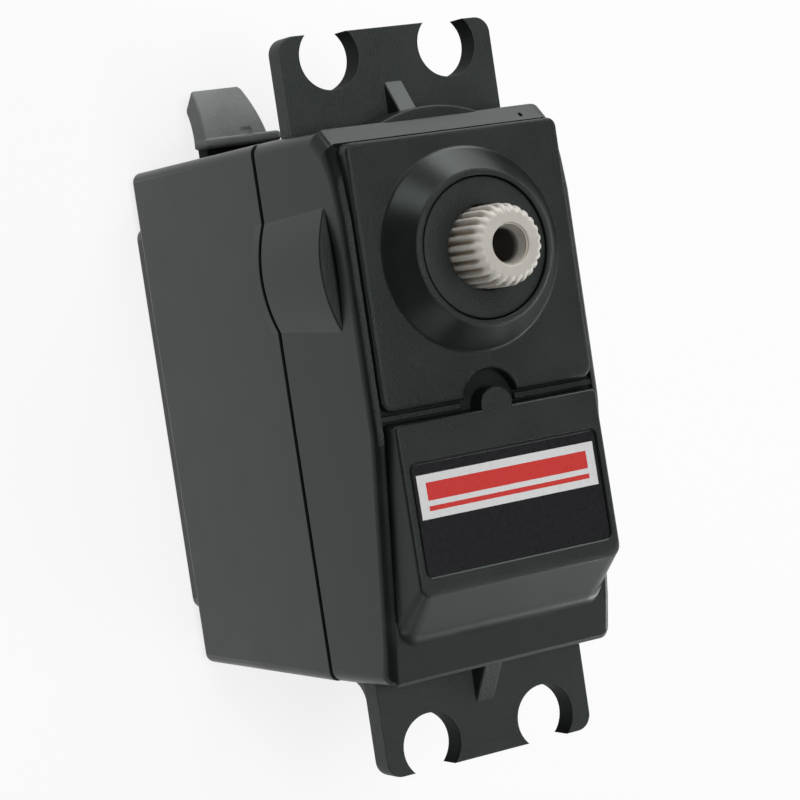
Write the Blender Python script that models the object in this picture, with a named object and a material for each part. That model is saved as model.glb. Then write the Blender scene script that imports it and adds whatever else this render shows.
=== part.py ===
"""Standard-size hobby servo motor, modelled piece by piece.

X runs along the case, with the output at the +X end. Y runs across it. Z is the output axis, and the
servo stands on its rear face at z = 0. Sizes are millimetres; each mesh is scaled to metres once made.
"""

import math

import bmesh
import bpy

MM = 0.001

# Sides of large, middling and small round shapes
LARGE = 48
ROUND = 28
SMALL = 16

# Case sizes
GAP = 0.2
BODY_L = 40.6
BODY_W = 20.0
WALL = 1.2
CORNER_R = 0.6
PAD_H = 0.6
SEAM_Z = 23.0
FRONT_Z = 34.75
ROOF_Z = 33.5
EDGE = 0.5
FLOOR_Z = PAD_H + WALL
HALF_L = BODY_L / 2
HALF_W = BODY_W / 2
INNER_X = HALF_L - WALL - 0.1
INNER_Y = HALF_W - WALL

# Front features
PANEL_Z = 35.25
PANEL_X = (-0.3, 19.0)
PANEL_HALF_W = 8.95
NOTCH_R = 2.3
NOTCH_TOP_X = 1.6
BLOCK_TOP_X = -1.2
BLOCK_EDGE_X = -13.5
BLOCK_FOOT_X = -16.8
BLOCK_Z = (35.8, 36.1)
BLOCK_FOOT_Z = 32.0
BLOCK_ROOT_Z = 31.5
BLOCK_HALF_W = 8.65
LABEL_X = (-4.1, -12.3)
LABEL_HALF_W = 8.0
LABEL_DEPTH = 0.25
KEY_R = 1.33
CONE_FOOT = (8.6, 33.75)
CONE_RIM_R = 5.6
RIM_Z = 37.45

# Rear pad and the ledges that carry the gear plate
PAD_HALF = (15.8, 9.8)
LEDGE_X = (0.0, 2.0)
LEDGE_Z = (4.8, 19.9)

# Mounting tabs
TAB_L = 55.0
TAB_HALF_W = 9.05
TAB_Z = (26.0, 27.9)
TAB_CORNER_R = 1.2
SLOT_X = 25.75
SLOT_Y = 5.05
SLOT_R = 2.45
GUSSET_HALF_W = 0.8
GUSSET_REACH = 23.4
GUSSET_TOP = 30.1
ROOT_FILLET_R = 1.8

# Axes: motor, idler axle and output lie on one line along X
OUTPUT_X = 10.3
CENTRE_DISTANCE = 12.0
IDLER_X = OUTPUT_X - CENTRE_DISTANCE

# Gear train: tooth counts and modules of each mesh, from motor to output
PRESSURE_ANGLE = math.radians(25)
ADDENDUM = 0.8
DEDENDUM = 1.0
MESH_1 = {"module": 0.3, "pinion": 9, "wheel": 54}
MESH_2 = {"module": 0.4, "pinion": 15, "wheel": 45}
MESH_3 = {"module": 0.5, "pinion": 16, "wheel": 32}
MESH_4 = {"module": 0.5, "pinion": 12, "wheel": 36}
MOTOR_X = IDLER_X - MESH_1["module"] * (MESH_1["pinion"] + MESH_1["wheel"]) / 2

# Heights of each gear: foot of its collar, foot and top of its wheel, top of its pinion
GEAR_1_Z = (21.7, 22.0, 23.5, 25.9)
GEAR_2_Z = (21.7, 24.0, 25.6, 28.0)
GEAR_3_Z = (26.1, 26.3, 27.8, 31.4)
OUTPUT_WHEEL_Z = (28.4, 31.2)
MOTOR_PINION_Z = (21.6, 23.9)
SINK = 0.3

# Swelling of the case that clears the two large wheels on the output axis
BULGE_R = 10.8
POCKET_R = 9.75
BULGE_Z = (21.2, 32.4)

# Output spline
SPLINE_TEETH = 25
SPLINE_R = 2.98
SPLINE_ROOT_R = 2.66
SPLINE_TIP_Z = 40.8
SPLINE_CHAMFER = 0.5
HUB_R = 4.2
HUB_Z = (28.2, 32.7)
JOURNAL_R = 3.0
HORN_HOLE_R = 1.25
HORN_HOLE_Z = 33.5
COUNTERBORE_R = 1.55
COUNTERBORE_DEPTH = 1.1
BUSHING_R = 5.1
BUSHING_Z = 33.0
RUN = 0.06
FIT = 0.05

# Case screws
SCREW_X = 18.2
SCREW_Y = 8.0
SCREWS = [(sx * SCREW_X, sy * SCREW_Y) for sx in (-1, 1) for sy in (-1, 1)]
SCREW_R = 0.9
SCREW_END_Z = 30.0
HEAD_R = 1.5
HEAD_H = 1.4
HEAD_Z = 1.0
CROSS_HALF = (0.9, 0.22)
CROSS_DEPTH = 0.7
CLEARANCE = 0.15
BOSS_R = 1.9
BOSS_TOP_Z = 31.0

# Gear plate and axle
PLATE_Z = (20.0, 21.5)
AXLE_R = 1.0
AXLE_Z = (20.1, 33.2)
AXLE_BOSS_R = 2.2

# Motor
CAN_R = 7.6
CAN_WALL = 0.7
CAN_Z = (6.4, 19.9)
CAP_Z = (4.9, 7.0)
NECK_R = 2.4
NECK_TOP = 21.3
SHAFT_R = 0.75
SHAFT_Z = (5.0, 23.8)
CORE_R = 5.3
CORE_Z = (10.0, 17.0)
MAGNET_R = (5.7, 6.8)
MAGNET_Z = (9.0, 18.2)
POLE_HALF_W = 0.9
POLE_ROOT_R = 1.9
POLE_SHOE_R = 4.3
POLE_SHOE_ANGLE = 46
MAGNET_ANGLE = 58
COIL_X = (2.1, 3.7)
COIL_HALF_W = 1.85
COIL_END = 0.9
COMMUTATOR_R = 1.6
COMMUTATOR_Z = (7.15, 8.9)

# Potentiometer
POT_R = 5.4
POT_Z = (13.0, 19.9)
POT_NECK_R = 2.9
POT_SHAFT_R = 1.6
POT_FLAT = 1.1
POT_SHAFT_STEPS = (27.7, 28.1, 30.9)
SOCKET_Z = (27.0, 31.1)
WIPER_R = 4.2
WIPER_Z = (15.2, 16.2)

# Control board
BOARD_X = (-14.5, 14.8)
BOARD_HALF_W = 8.2
BOARD_Z = (2.0, 3.0)
CHIPS = {
    "control_chip": (0.0, 3.2, 2.4),
    "driver_chip_1": (-5.6, 2.4, 1.9),
    "driver_chip_2": (5.6, 2.4, 1.9),
}
CHIP_X = 2.2
CHIP_H = 1.2
CAPACITOR_AT = (9.0, 4.6)

# Strain relief boot
BOOT_Y = 2.0
BOOT_Z = 4.1
BOOT_HOLE = (2.8, 1.1)
BOOT_BEND = ((22.08, 4.05), (23.65, 3.6), (25.4, 1.9))
BOOT_LIP_X = (21.2, 22.05)
BOOT_LIP_SHIFT = -0.5
BOOT_BORE = (1.7, 0.55)


def clear_scene():
    for obj in list(bpy.data.objects):
        bpy.data.objects.remove(obj, do_unlink=True)


def finish(name, colour, roughness, metallic=0.0):
    """A plain surface: base colour, roughness and metallic value."""
    material = bpy.data.materials.new(name)
    material.use_nodes = True
    shader = material.node_tree.nodes["Principled BSDF"]
    shader.inputs["Base Color"].default_value = (*colour, 1.0)
    shader.inputs["Roughness"].default_value = roughness
    shader.inputs["Metallic"].default_value = metallic
    return material


def make(name, shape, material=None, at_x=0.0):
    """Turn (points, faces) in millimetres into an object whose origin is on the axis x = at_x."""
    points, faces = shape
    mesh = bpy.data.meshes.new(name)
    mesh.from_pydata([(x * MM, y * MM, z * MM) for x, y, z in points], [], faces)
    bm = bmesh.new()
    bm.from_mesh(mesh)
    bmesh.ops.recalc_face_normals(bm, faces=bm.faces)
    bm.to_mesh(mesh)
    bm.free()
    mesh.shade_smooth()
    mesh.set_sharp_from_angle(angle=math.radians(30))
    if material:
        mesh.materials.append(material)
    obj = bpy.data.objects.new(name, mesh)
    obj.location.x = at_x * MM
    bpy.context.collection.objects.link(obj)
    return obj


def tool(name, shape, at_x=0.0):
    """A shape that is only added to or cut from another."""
    obj = make(name, shape, at_x=at_x)
    obj.hide_render = True
    obj.display_type = "WIRE"
    return obj


def combine(target, operation, shapes, at_x=0.0):
    """Add or cut each shape, in order, with a Boolean modifier."""
    for number, shape in enumerate(shapes):
        name = f"{target.name}.{operation.lower()}.{len(target.modifiers)}.{number}"
        step = target.modifiers.new(name, "BOOLEAN")
        step.operation = operation
        step.object = tool(name, shape, at_x)
    return target


def add(target, *shapes, at_x=0.0):
    return combine(target, "UNION", shapes, at_x)


def cut(target, *shapes, at_x=0.0):
    return combine(target, "DIFFERENCE", shapes, at_x)


def loft(rings):
    """Skin equal-length rings of points and close both ends."""
    count = len(rings[0])
    points = [point for ring in rings for point in ring]
    faces = [tuple(range(count)), tuple(range(len(points) - count, len(points)))]
    for start in range(0, len(points) - count, count):
        for i in range(count):
            j = (i + 1) % count
            faces.append((start + i, start + j, start + count + j, start + count + i))
    return points, faces


def arc(x, y, radius, start, end, steps):
    """Points on an arc, angles in degrees, both ends included."""
    angles = [math.radians(start + (end - start) * i / steps) for i in range(steps + 1)]
    return [(x + radius * math.cos(a), y + radius * math.sin(a)) for a in angles]


def polar_point(radius, degrees):
    angle = math.radians(degrees)
    return radius * math.cos(angle), radius * math.sin(angle)


def lift(outline, z):
    return [(x, y, z) for x, y in outline]


def prism(outline, z_low, z_high):
    """An outline in XY, extruded along Z."""
    return loft([lift(outline, z_low), lift(outline, z_high)])


def side_prism(outline, y_low, y_high):
    """An outline in XZ, extruded along Y."""
    return loft([[(x, y, z) for x, z in outline] for y in (y_low, y_high)])


def box(x, y, z):
    """A block between two limits on each axis."""
    return prism([(x[0], y[0]), (x[1], y[0]), (x[1], y[1]), (x[0], y[1])], z[0], z[1])


def circle(radius, sides, x=0.0, y=0.0):
    return arc(x, y, radius, 0, 360 - 360 / sides, sides - 1)


def turned(profile, sides=ROUND, x=0.0, y=0.0):
    """A solid turned about Z from (radius, height) steps."""
    return loft([lift(circle(radius, sides, x, y), z) for radius, z in profile])


def turned_ring(profile, sides=ROUND):
    """A ring turned about Z from a closed (radius, height) profile."""
    rings = [lift(circle(radius, sides), z) for radius, z in profile]
    points = [point for ring in rings for point in ring]
    faces = []
    for ring in range(len(rings)):
        here, there = ring * sides, (ring + 1) % len(rings) * sides
        for i in range(sides):
            j = (i + 1) % sides
            faces.append((here + i, here + j, there + j, there + i))
    return points, faces


def round_rect(half_x, half_y, radius, steps=3):
    points = []
    for turn, (sx, sy) in enumerate(((1, 1), (-1, 1), (-1, -1), (1, -1))):
        centre = (sx * (half_x - radius), sy * (half_y - radius))
        points += arc(*centre, radius, turn * 90, turn * 90 + 90, steps)
    return points


def involute(angle):
    return math.tan(angle) - angle


def gear_outline(teeth, module, tooth_at, flank_steps):
    """Involute teeth. One tooth is centred on the angle tooth_at, in degrees."""
    pitch_r = teeth * module / 2
    base_r = pitch_r * math.cos(PRESSURE_ANGLE)
    tip_r = pitch_r + ADDENDUM * module
    root_r = pitch_r - DEDENDUM * module
    play = 0.02 + 0.1 * module
    half_at_pitch = math.pi / (2 * teeth) - play / (2 * pitch_r)
    radii = [root_r + (tip_r - root_r) * i / flank_steps for i in range(flank_steps + 1)]

    def half_angle(radius):
        pressure = math.acos(min(1.0, base_r / radius))
        return half_at_pitch + involute(PRESSURE_ANGLE) - involute(pressure)

    flank = [(radius, half_angle(radius)) for radius in radii]
    points = []
    for tooth in range(teeth):
        middle = math.radians(tooth_at) + 2 * math.pi * tooth / teeth
        polar = [(r, middle - a) for r, a in flank] + [(r, middle + a) for r, a in reversed(flank)]
        points += [(r * math.cos(a), r * math.sin(a)) for r, a in polar]
    return points


def pinion_outline(mesh, tooth_at):
    return gear_outline(mesh["pinion"], mesh["module"], tooth_at, flank_steps=3)


def wheel_outline(mesh, gap_at):
    """A wheel with a tooth gap, not a tooth, centred on gap_at."""
    return gear_outline(mesh["wheel"], mesh["module"], gap_at + 180 / mesh["wheel"], flank_steps=1)


def block_face_z(x):
    """Height of the label block's slightly tilted front face."""
    share = (BLOCK_TOP_X - x) / (BLOCK_TOP_X - BLOCK_EDGE_X)
    return BLOCK_Z[0] + share * (BLOCK_Z[1] - BLOCK_Z[0])


def rear_case(material):
    top = SEAM_Z - GAP / 2
    rim = [(0.5, PAD_H), (0.15, PAD_H + 0.2), (0.0, PAD_H + 0.6), (0.0, top)]
    rings = [lift(round_rect(HALF_L - inset, HALF_W - inset, CORNER_R), z) for inset, z in rim]
    case = make("rear_case", loft(rings), material)
    add(case, prism(round_rect(*PAD_HALF, 1.0), 0.0, FLOOR_Z - 0.4))
    add(case, prism(circle(BULGE_R, LARGE, OUTPUT_X), BULGE_Z[0], top))
    cut(case, prism(round_rect(INNER_X, INNER_Y, CORNER_R, 1), FLOOR_Z, SEAM_Z + 1))
    add(case, *[turned([(BOSS_R, FLOOR_Z - 0.5), (BOSS_R, top)], SMALL, x, y) for x, y in SCREWS])
    for side in (-1, 1):
        ledge_y = sorted((side * (INNER_Y - 1.2), side * (INNER_Y + 0.4)))
        add(case, box(LEDGE_X, ledge_y, LEDGE_Z))
    cut(case, prism(circle(POCKET_R, LARGE, OUTPUT_X), PLATE_Z[1], SEAM_Z + 1))
    shank, head = SCREW_R + CLEARANCE, HEAD_R + CLEARANCE
    seat = HEAD_Z + HEAD_H + 0.1
    for x, y in SCREWS:
        cut(case, turned([(head, 0.0), (head, seat), (shank, seat), (shank, SEAM_Z + 1)], SMALL, x, y))
    hole_y, hole_z = BOOT_HOLE
    through = (INNER_X - 1, HALF_L + 1)
    cut(case, box(through, (BOOT_Y - hole_y, BOOT_Y + hole_y), (BOOT_Z - hole_z, BOOT_Z + hole_z)))


def front_profile(inset):
    """Side view of the front case, drawn in by the edge rounding on its sides."""
    half = HALF_L - inset
    front = FRONT_Z - inset
    low = SEAM_Z + GAP / 2
    rise = [(half, 32.3 - inset), (19.1 - inset / 2, 33.6 - inset), (16.5, 34.4 - inset), (14.0, front)]
    fall = [(-2.0, front), (-17.2, 32.1 - inset), (-20.0 + inset, 31.5 - inset), (-half, 31.2 - inset)]
    return [(-half, low), (half, low)] + rise + fall


def front_cavity():
    low = SEAM_Z - 1
    rise = [(INNER_X, 31.2), (17.6, 32.6), (14.0, ROOF_Z)]
    fall = [(-2.3, ROOF_Z), (-17.0, 30.7), (-INNER_X, 30.2)]
    return side_prism([(-INNER_X, low), (INNER_X, low)] + rise + fall, -INNER_Y, INNER_Y)


def panel_shape():
    """Raised front panel with an arched notch in its lower edge."""
    low, high = PANEL_X
    half = PANEL_HALF_W
    notch_centre = NOTCH_TOP_X - NOTCH_R
    open_at = math.degrees(math.asin((low - notch_centre) / NOTCH_R))
    notch = [(notch_centre + y, x) for x, y in arc(0, 0, NOTCH_R, open_at, 180 - open_at, 8)]
    outline = arc(high - 0.7, half - 0.7, 0.7, 0, 90, 3) + arc(low + 0.9, half - 0.9, 0.9, 90, 180, 3)
    outline += notch
    outline += arc(low + 0.9, 0.9 - half, 0.9, 180, 270, 3) + arc(high - 0.7, 0.7 - half, 0.7, 270, 360, 3)
    return prism(outline, 33.2, PANEL_Z)


def tab_outline(side):
    """One mounting tab, with two round slots that open through its end."""
    end = TAB_L / 2
    half = TAB_HALF_W
    opening = math.degrees(math.acos((end - SLOT_X) / SLOT_R))
    root = HALF_L - WALL / 2
    points = [(root, -half)] + arc(end - TAB_CORNER_R, TAB_CORNER_R - half, TAB_CORNER_R, -90, 0, 4)
    for y in (-SLOT_Y, SLOT_Y):
        points += arc(SLOT_X, y, SLOT_R, -opening, opening - 360, 20)
    points += arc(end - TAB_CORNER_R, half - TAB_CORNER_R, TAB_CORNER_R, 0, 90, 4) + [(root, half)]
    return [(side * x, y) for x, y in points]


def gusset(side):
    inner = side * (HALF_L - WALL / 2)
    reach = side * GUSSET_REACH
    low = TAB_Z[0] + 0.4
    outline = [(inner, low), (reach, low), (reach, TAB_Z[1])]
    outline += [(side * HALF_L, GUSSET_TOP), (inner, GUSSET_TOP)]
    return side_prism(outline, -GUSSET_HALF_W, GUSSET_HALF_W)


def root_fillet():
    """Web under the lower tab, where it leaves the end wall."""
    radius = ROOT_FILLET_R
    curve = arc(-HALF_L - radius, TAB_Z[0] - radius, radius, 0, 90, 5)
    inner = -HALF_L + WALL / 2
    high = TAB_Z[0] + 0.4
    outline = curve + [(-HALF_L - radius, high), (inner, high), (inner, curve[0][1])]
    return side_prism(outline, -TAB_HALF_W + FIT, TAB_HALF_W - FIT)


def label_slab(lift_low, lift_high, inset):
    """A slab that follows the label block's tilted face."""
    ends = (LABEL_X[0] - inset, LABEL_X[1] + inset)
    outline = [(x, block_face_z(x) + lift_low) for x in ends]
    outline += [(x, block_face_z(x) + lift_high) for x in reversed(ends)]
    half = LABEL_HALF_W - inset
    return side_prism(outline, -half, half)


def front_case(material):
    sections = [(-HALF_W, EDGE), (-HALF_W + EDGE, 0.0), (HALF_W - EDGE, 0.0), (HALF_W, EDGE)]
    rings = [[(x, y, z) for x, z in front_profile(inset)] for y, inset in sections]
    case = make("front_case", loft(rings), material)
    add(case, panel_shape())
    block = [(BLOCK_TOP_X, BLOCK_ROOT_Z), (BLOCK_TOP_X, BLOCK_Z[0]), (BLOCK_EDGE_X, BLOCK_Z[1])]
    block += [(BLOCK_FOOT_X, BLOCK_FOOT_Z), (BLOCK_FOOT_X, BLOCK_ROOT_Z)]
    add(case, side_prism(block, -BLOCK_HALF_W, BLOCK_HALF_W))
    add(case, prism(circle(KEY_R, ROUND, BLOCK_TOP_X + 0.17), 34.0, BLOCK_Z[0]))
    add(case, turned([CONE_FOOT, (CONE_RIM_R, RIM_Z)], LARGE, OUTPUT_X))
    for side in (-1, 1):
        add(case, prism(tab_outline(side), *TAB_Z), gusset(side))
    add(case, root_fillet())
    add(case, prism(circle(BULGE_R, LARGE, OUTPUT_X), SEAM_Z + GAP / 2, BULGE_Z[1]))
    cut(case, front_cavity())
    boss = [(BOSS_R, SEAM_Z + GAP / 2), (BOSS_R, BOSS_TOP_Z)]
    add(case, *[turned(boss, SMALL, x, y) for x, y in SCREWS])
    add(case, turned([(AXLE_BOSS_R, AXLE_Z[1] - 1.2), (AXLE_BOSS_R, ROOF_Z + 0.3)], SMALL, IDLER_X))
    cut(case, prism(circle(POCKET_R, LARGE, OUTPUT_X), SEAM_Z - 1, BULGE_Z[1] - 0.6))
    cut(case, turned([(BUSHING_R + 0.1, BOSS_TOP_Z), (BUSHING_R + 0.1, RIM_Z + 1)], LARGE, OUTPUT_X))
    cut(case, turned([(AXLE_R + FIT, BOSS_TOP_Z), (AXLE_R + FIT, AXLE_Z[1] + 0.1)], SMALL, IDLER_X))
    thread = [(SCREW_R + FIT, SEAM_Z - 1), (SCREW_R + FIT, SCREW_END_Z + 0.2)]
    cut(case, *[turned(thread, SMALL, x, y) for x, y in SCREWS])
    cut(case, label_slab(-LABEL_DEPTH, 1.0, 0.0))


def label(material):
    make("label", label_slab(0.07 - LABEL_DEPTH, -0.05, 0.12), material)


def case_screws(material):
    under = HEAD_Z + HEAD_H
    steps = [(HEAD_R - 0.3, HEAD_Z), (HEAD_R, HEAD_Z + 0.3), (HEAD_R, under)]
    steps += [(SCREW_R, under), (SCREW_R, SCREW_END_Z - 0.6), (0.3, SCREW_END_Z)]
    slot_z = (HEAD_Z - 1, HEAD_Z + CROSS_DEPTH)
    for number, (x, y) in enumerate(SCREWS, start=1):
        screw = make(f"case_screw_{number}", turned(steps, SMALL, x, y), material)
        for half_x, half_y in (CROSS_HALF, reversed(CROSS_HALF)):
            cut(screw, box((x - half_x, x + half_x), (y - half_y, y + half_y), slot_z))


def boot_path():
    """Centre line of the boot in XZ: straight through the wall, then bending to the rear."""
    (x0, z0), (x1, z1), (x2, z2) = BOOT_BEND
    path = []
    for i in range(7):
        t = i / 6
        x = (1 - t) ** 2 * x0 + 2 * t * (1 - t) * x1 + t**2 * x2
        z = (1 - t) ** 2 * z0 + 2 * t * (1 - t) * z1 + t**2 * z2
        slope = math.atan2((1 - t) * (z1 - z0) + t * (z2 - z1), (1 - t) * (x1 - x0) + t * (x2 - x1))
        path.append((x, z, slope))
    return path


def boot_ring(x, z, slope, half_y, half_t, shift=0.0):
    """Rounded cross-section, square to the centre line."""
    ring = []
    for across, along in round_rect(half_y, half_t, 0.25, 2):
        y = BOOT_Y + shift + across
        ring.append((x - along * math.sin(slope), y, z + along * math.cos(slope)))
    return ring


def strain_relief(material):
    inside = INNER_X - 0.15
    flange, neck, lip = (3.5, 1.5), (2.7, 0.9), (3.45, 1.4, BOOT_LIP_SHIFT)
    lip_low, lip_high = BOOT_LIP_X
    stations = [(inside - 0.9, flange), (inside, flange), (inside + 0.02, neck)]
    stations += [(lip_low - 0.02, neck), (lip_low, lip), (lip_high, lip)]
    rings = [boot_ring(x, BOOT_Z, 0.0, *size) for x, size in stations]
    path = boot_path()
    for number, (x, z, slope) in enumerate(path):
        share = number / (len(path) - 1)
        rings.append(boot_ring(x, z, slope, 2.85 - 0.63 * share, 1.15 - 0.05 * share))
    boot = make("strain_relief", loft(rings), material)
    bore = [boot_ring(x, BOOT_Z, 0.0, *BOOT_BORE) for x in (inside - 2.0, HALF_L)]
    bore += [boot_ring(x, z, slope, *BOOT_BORE) for x, z, slope in path]
    x, z, slope = path[-1]
    bore.append(boot_ring(x + math.cos(slope), z + math.sin(slope), slope, *BOOT_BORE))
    cut(boot, loft(bore))


def output_bushing(material):
    bore = JOURNAL_R + RUN
    top = RIM_Z - 0.05
    profile = [(BUSHING_R, BUSHING_Z), (BUSHING_R, top), (bore, top), (bore, BUSHING_Z)]
    make("output_bushing", turned_ring(profile, LARGE), material, OUTPUT_X)


def spline_outline(scale=1.0):
    flank = ((SPLINE_ROOT_R, -0.36), (SPLINE_R, -0.14), (SPLINE_R, 0.14), (SPLINE_ROOT_R, 0.36))
    pitch = 360 / SPLINE_TEETH
    points = []
    for tooth in range(SPLINE_TEETH):
        points += [polar_point(radius * scale, pitch * (tooth + share)) for radius, share in flank]
    return points


def flatted_circle(radius, flat, sides):
    """A circle with one side cut flat, for the shaft that turns with the output."""
    return [(min(x, flat), y) for x, y in circle(radius, sides)]


def output_gear(material):
    gear = make("output_gear", prism(wheel_outline(MESH_4, 180), *OUTPUT_WHEEL_Z), material, OUTPUT_X)
    low, high = HUB_Z
    hub = [(HUB_R, low), (HUB_R, high), (JOURNAL_R, high), (JOURNAL_R, RIM_Z - 0.2)]
    add(gear, turned(hub), at_x=OUTPUT_X)
    tip = SPLINE_TIP_Z
    shrunk = 1 - SPLINE_CHAMFER / SPLINE_R
    rings = [(1.0, RIM_Z - 0.6), (1.0, tip - SPLINE_CHAMFER), (shrunk, tip)]
    add(gear, loft([lift(spline_outline(scale), z) for scale, z in rings]), at_x=OUTPUT_X)
    step_z = tip - COUNTERBORE_DEPTH
    screw_hole = [(HORN_HOLE_R, HORN_HOLE_Z), (HORN_HOLE_R, step_z - 0.1)]
    screw_hole += [(COUNTERBORE_R, step_z), (COUNTERBORE_R, tip + 1)]
    socket = prism(flatted_circle(POT_SHAFT_R + RUN, POT_FLAT + RUN, ROUND), *SOCKET_Z)
    cut(gear, turned(screw_hole, SMALL + 4), socket, at_x=OUTPUT_X)


def compound_gear(name, material, x, heights, wheel, pinion, collar_r, bore_r):
    """A large wheel with a smaller pinion on top and a collar that spaces it below."""
    foot, wheel_low, wheel_high, top = heights
    gear = make(name, prism(wheel, wheel_low, wheel_high), material, x)
    collar = turned([(collar_r, foot), (collar_r, wheel_low + SINK)], SMALL)
    add(gear, prism(pinion, wheel_high - SINK, top), collar, at_x=x)
    cut(gear, turned([(bore_r, foot - 1), (bore_r, top + 1)], ROUND), at_x=x)


def idler_gears(material):
    """Each wheel has a gap, and each pinion a tooth, where it meets its neighbour on the line of axes."""
    axle_bore, shaft_bore = AXLE_R + RUN, POT_SHAFT_R + RUN
    wheel, pinion = wheel_outline(MESH_1, 180), pinion_outline(MESH_2, 0)
    compound_gear("idler_gear_1", material, IDLER_X, GEAR_1_Z, wheel, pinion, 1.9, axle_bore)
    wheel, pinion = wheel_outline(MESH_2, 180), pinion_outline(MESH_3, 180)
    compound_gear("idler_gear_2", material, OUTPUT_X, GEAR_2_Z, wheel, pinion, 2.6, shaft_bore)
    wheel, pinion = wheel_outline(MESH_3, 0), pinion_outline(MESH_4, 0)
    compound_gear("idler_gear_3", material, IDLER_X, GEAR_3_Z, wheel, pinion, 1.9, axle_bore)


def idler_axle(material):
    low, high = AXLE_Z
    steps = [(AXLE_R - 0.2, low), (AXLE_R, low + 0.2), (AXLE_R, high - 0.2), (AXLE_R - 0.2, high)]
    make("idler_axle", turned(steps, SMALL), material, IDLER_X)


def gear_plate(material):
    half_x, half_y = INNER_X - 0.3, INNER_Y - 0.3
    step_x, step_y = SCREW_X - BOSS_R - 0.4, SCREW_Y - BOSS_R - 0.3
    quarter = [(half_x, step_y), (step_x, step_y), (step_x, half_y)]
    mirrored = [(-x, y) for x, y in reversed(quarter)]
    outline = quarter + mirrored
    outline += [(x, -y) for x, y in reversed(outline)]
    plate = make("gear_plate", prism(outline, *PLATE_Z), material)
    low, high = PLATE_Z
    holes = ((MOTOR_X, NECK_R + CLEARANCE), (IDLER_X, AXLE_R + FIT), (OUTPUT_X, POT_NECK_R + CLEARANCE))
    cut(plate, *[turned([(radius, low - 1), (radius, high + 1)], ROUND, x) for x, radius in holes])


def motor_case(steel, magnet_black, white_plastic, bronze):
    low, high = CAN_Z
    inner = CAN_R - CAN_WALL
    can = [(CAN_R, low), (CAN_R, high - 0.5), (CAN_R - 0.5, high), (NECK_R, high), (NECK_R, NECK_TOP)]
    can += [(1.6, NECK_TOP), (1.6, high - CAN_WALL), (inner, high - CAN_WALL), (inner, low)]
    make("motor_can", turned_ring(can), steel, MOTOR_X)
    for number, middle in enumerate((0, 180), start=1):
        inner_r, outer_r = MAGNET_R
        outline = arc(0, 0, outer_r, middle - MAGNET_ANGLE, middle + MAGNET_ANGLE, 8)
        outline += arc(0, 0, inner_r, middle + MAGNET_ANGLE, middle - MAGNET_ANGLE, 8)
        make(f"motor_magnet_{number}", prism(outline, *MAGNET_Z), magnet_black, MOTOR_X)
    bottom, top = CAP_Z
    cap = [(CAN_R - 0.1, bottom), (CAN_R - 0.1, low - 0.1), (inner - 0.2, low - 0.1), (inner - 0.2, top)]
    make("motor_end_cap", turned_ring(cap + [(1.35, top), (1.35, bottom)]), white_plastic, MOTOR_X)
    bush = SHAFT_R + RUN
    for name, outer, z_low, z_high in (("front", 1.55, 19.3, 21.2), ("rear", 1.25, 5.1, 6.9)):
        ring = [(outer, z_low), (outer, z_high), (bush, z_high), (bush, z_low)]
        make(f"motor_{name}_bush", turned_ring(ring, SMALL), bronze, MOTOR_X)


def motor_contacts(carbon, brass):
    for number, side in enumerate((-1, 1), start=1):
        brush_y = sorted((side * (COMMUTATOR_R + 0.12), side * 4.4))
        brush = box((-0.8, 0.8), brush_y, (CAP_Z[1] + 0.1, COMMUTATOR_Z[1] - 0.2))
        make(f"motor_brush_{number}", brush, carbon, MOTOR_X)
        tab_y = sorted((side * 5.0, side * 5.4))
        tab = box((-0.9, 0.9), tab_y, (BOARD_Z[1] + 0.1, CAP_Z[0] - 0.1))
        make(f"motor_terminal_{number}", tab, brass, MOTOR_X)


def core_outline():
    """Three poles with curved tips."""
    spread = math.degrees(math.asin(POLE_HALF_W / POLE_ROOT_R))
    neck = math.degrees(math.asin(POLE_HALF_W / POLE_SHOE_R))
    points = []
    for middle in (0, 120, 240):
        start, end = middle - POLE_SHOE_ANGLE, middle + POLE_SHOE_ANGLE
        points.append(polar_point(POLE_ROOT_R, middle - spread))
        points += arc(0, 0, POLE_SHOE_R, middle - neck, start, 3)
        points += arc(0, 0, CORE_R, start, end, 8)
        points += arc(0, 0, POLE_SHOE_R, end, middle + neck, 3)
        points.append(polar_point(POLE_ROOT_R, middle + spread))
    return points


def rotor(steel, lamination, copper, brass):
    bore = SHAFT_R + FIT
    make("rotor_shaft", turned([(SHAFT_R, SHAFT_Z[0]), (SHAFT_R, SHAFT_Z[1])], SMALL), steel, MOTOR_X)
    low, high = CORE_Z
    core = make("rotor_core", prism(core_outline(), low, high), lamination, MOTOR_X)
    cut(core, turned([(bore, low - 1), (bore, high + 1)], SMALL), at_x=MOTOR_X)
    winding = box(COIL_X, (-COIL_HALF_W, COIL_HALF_W), (low - COIL_END, high + COIL_END))
    pole = POLE_HALF_W + 0.1
    opening = box((COIL_X[0] - 1, COIL_X[1] + 1), (-pole, pole), (low - 0.1, high + 0.1))
    for number in range(3):
        coil = make(f"rotor_coil_{number + 1}", winding, copper, MOTOR_X)
        window = tool(f"coil_window_{number + 1}", opening, MOTOR_X)
        coil.rotation_euler.z = math.radians(120 * number)
        window.rotation_euler.z = coil.rotation_euler.z
        coil.modifiers.new("window", "BOOLEAN").object = window
    low, high = COMMUTATOR_Z
    sleeve = [(COMMUTATOR_R, low), (COMMUTATOR_R, high), (bore, high), (bore, low)]
    make("commutator", turned_ring(sleeve, SMALL), brass, MOTOR_X)
    low, high = MOTOR_PINION_Z
    pinion = make("motor_pinion", prism(pinion_outline(MESH_1, 0), low, high), brass, MOTOR_X)
    cut(pinion, turned([(bore, low - 1), (bore, high + 1)], SMALL), at_x=MOTOR_X)


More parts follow.
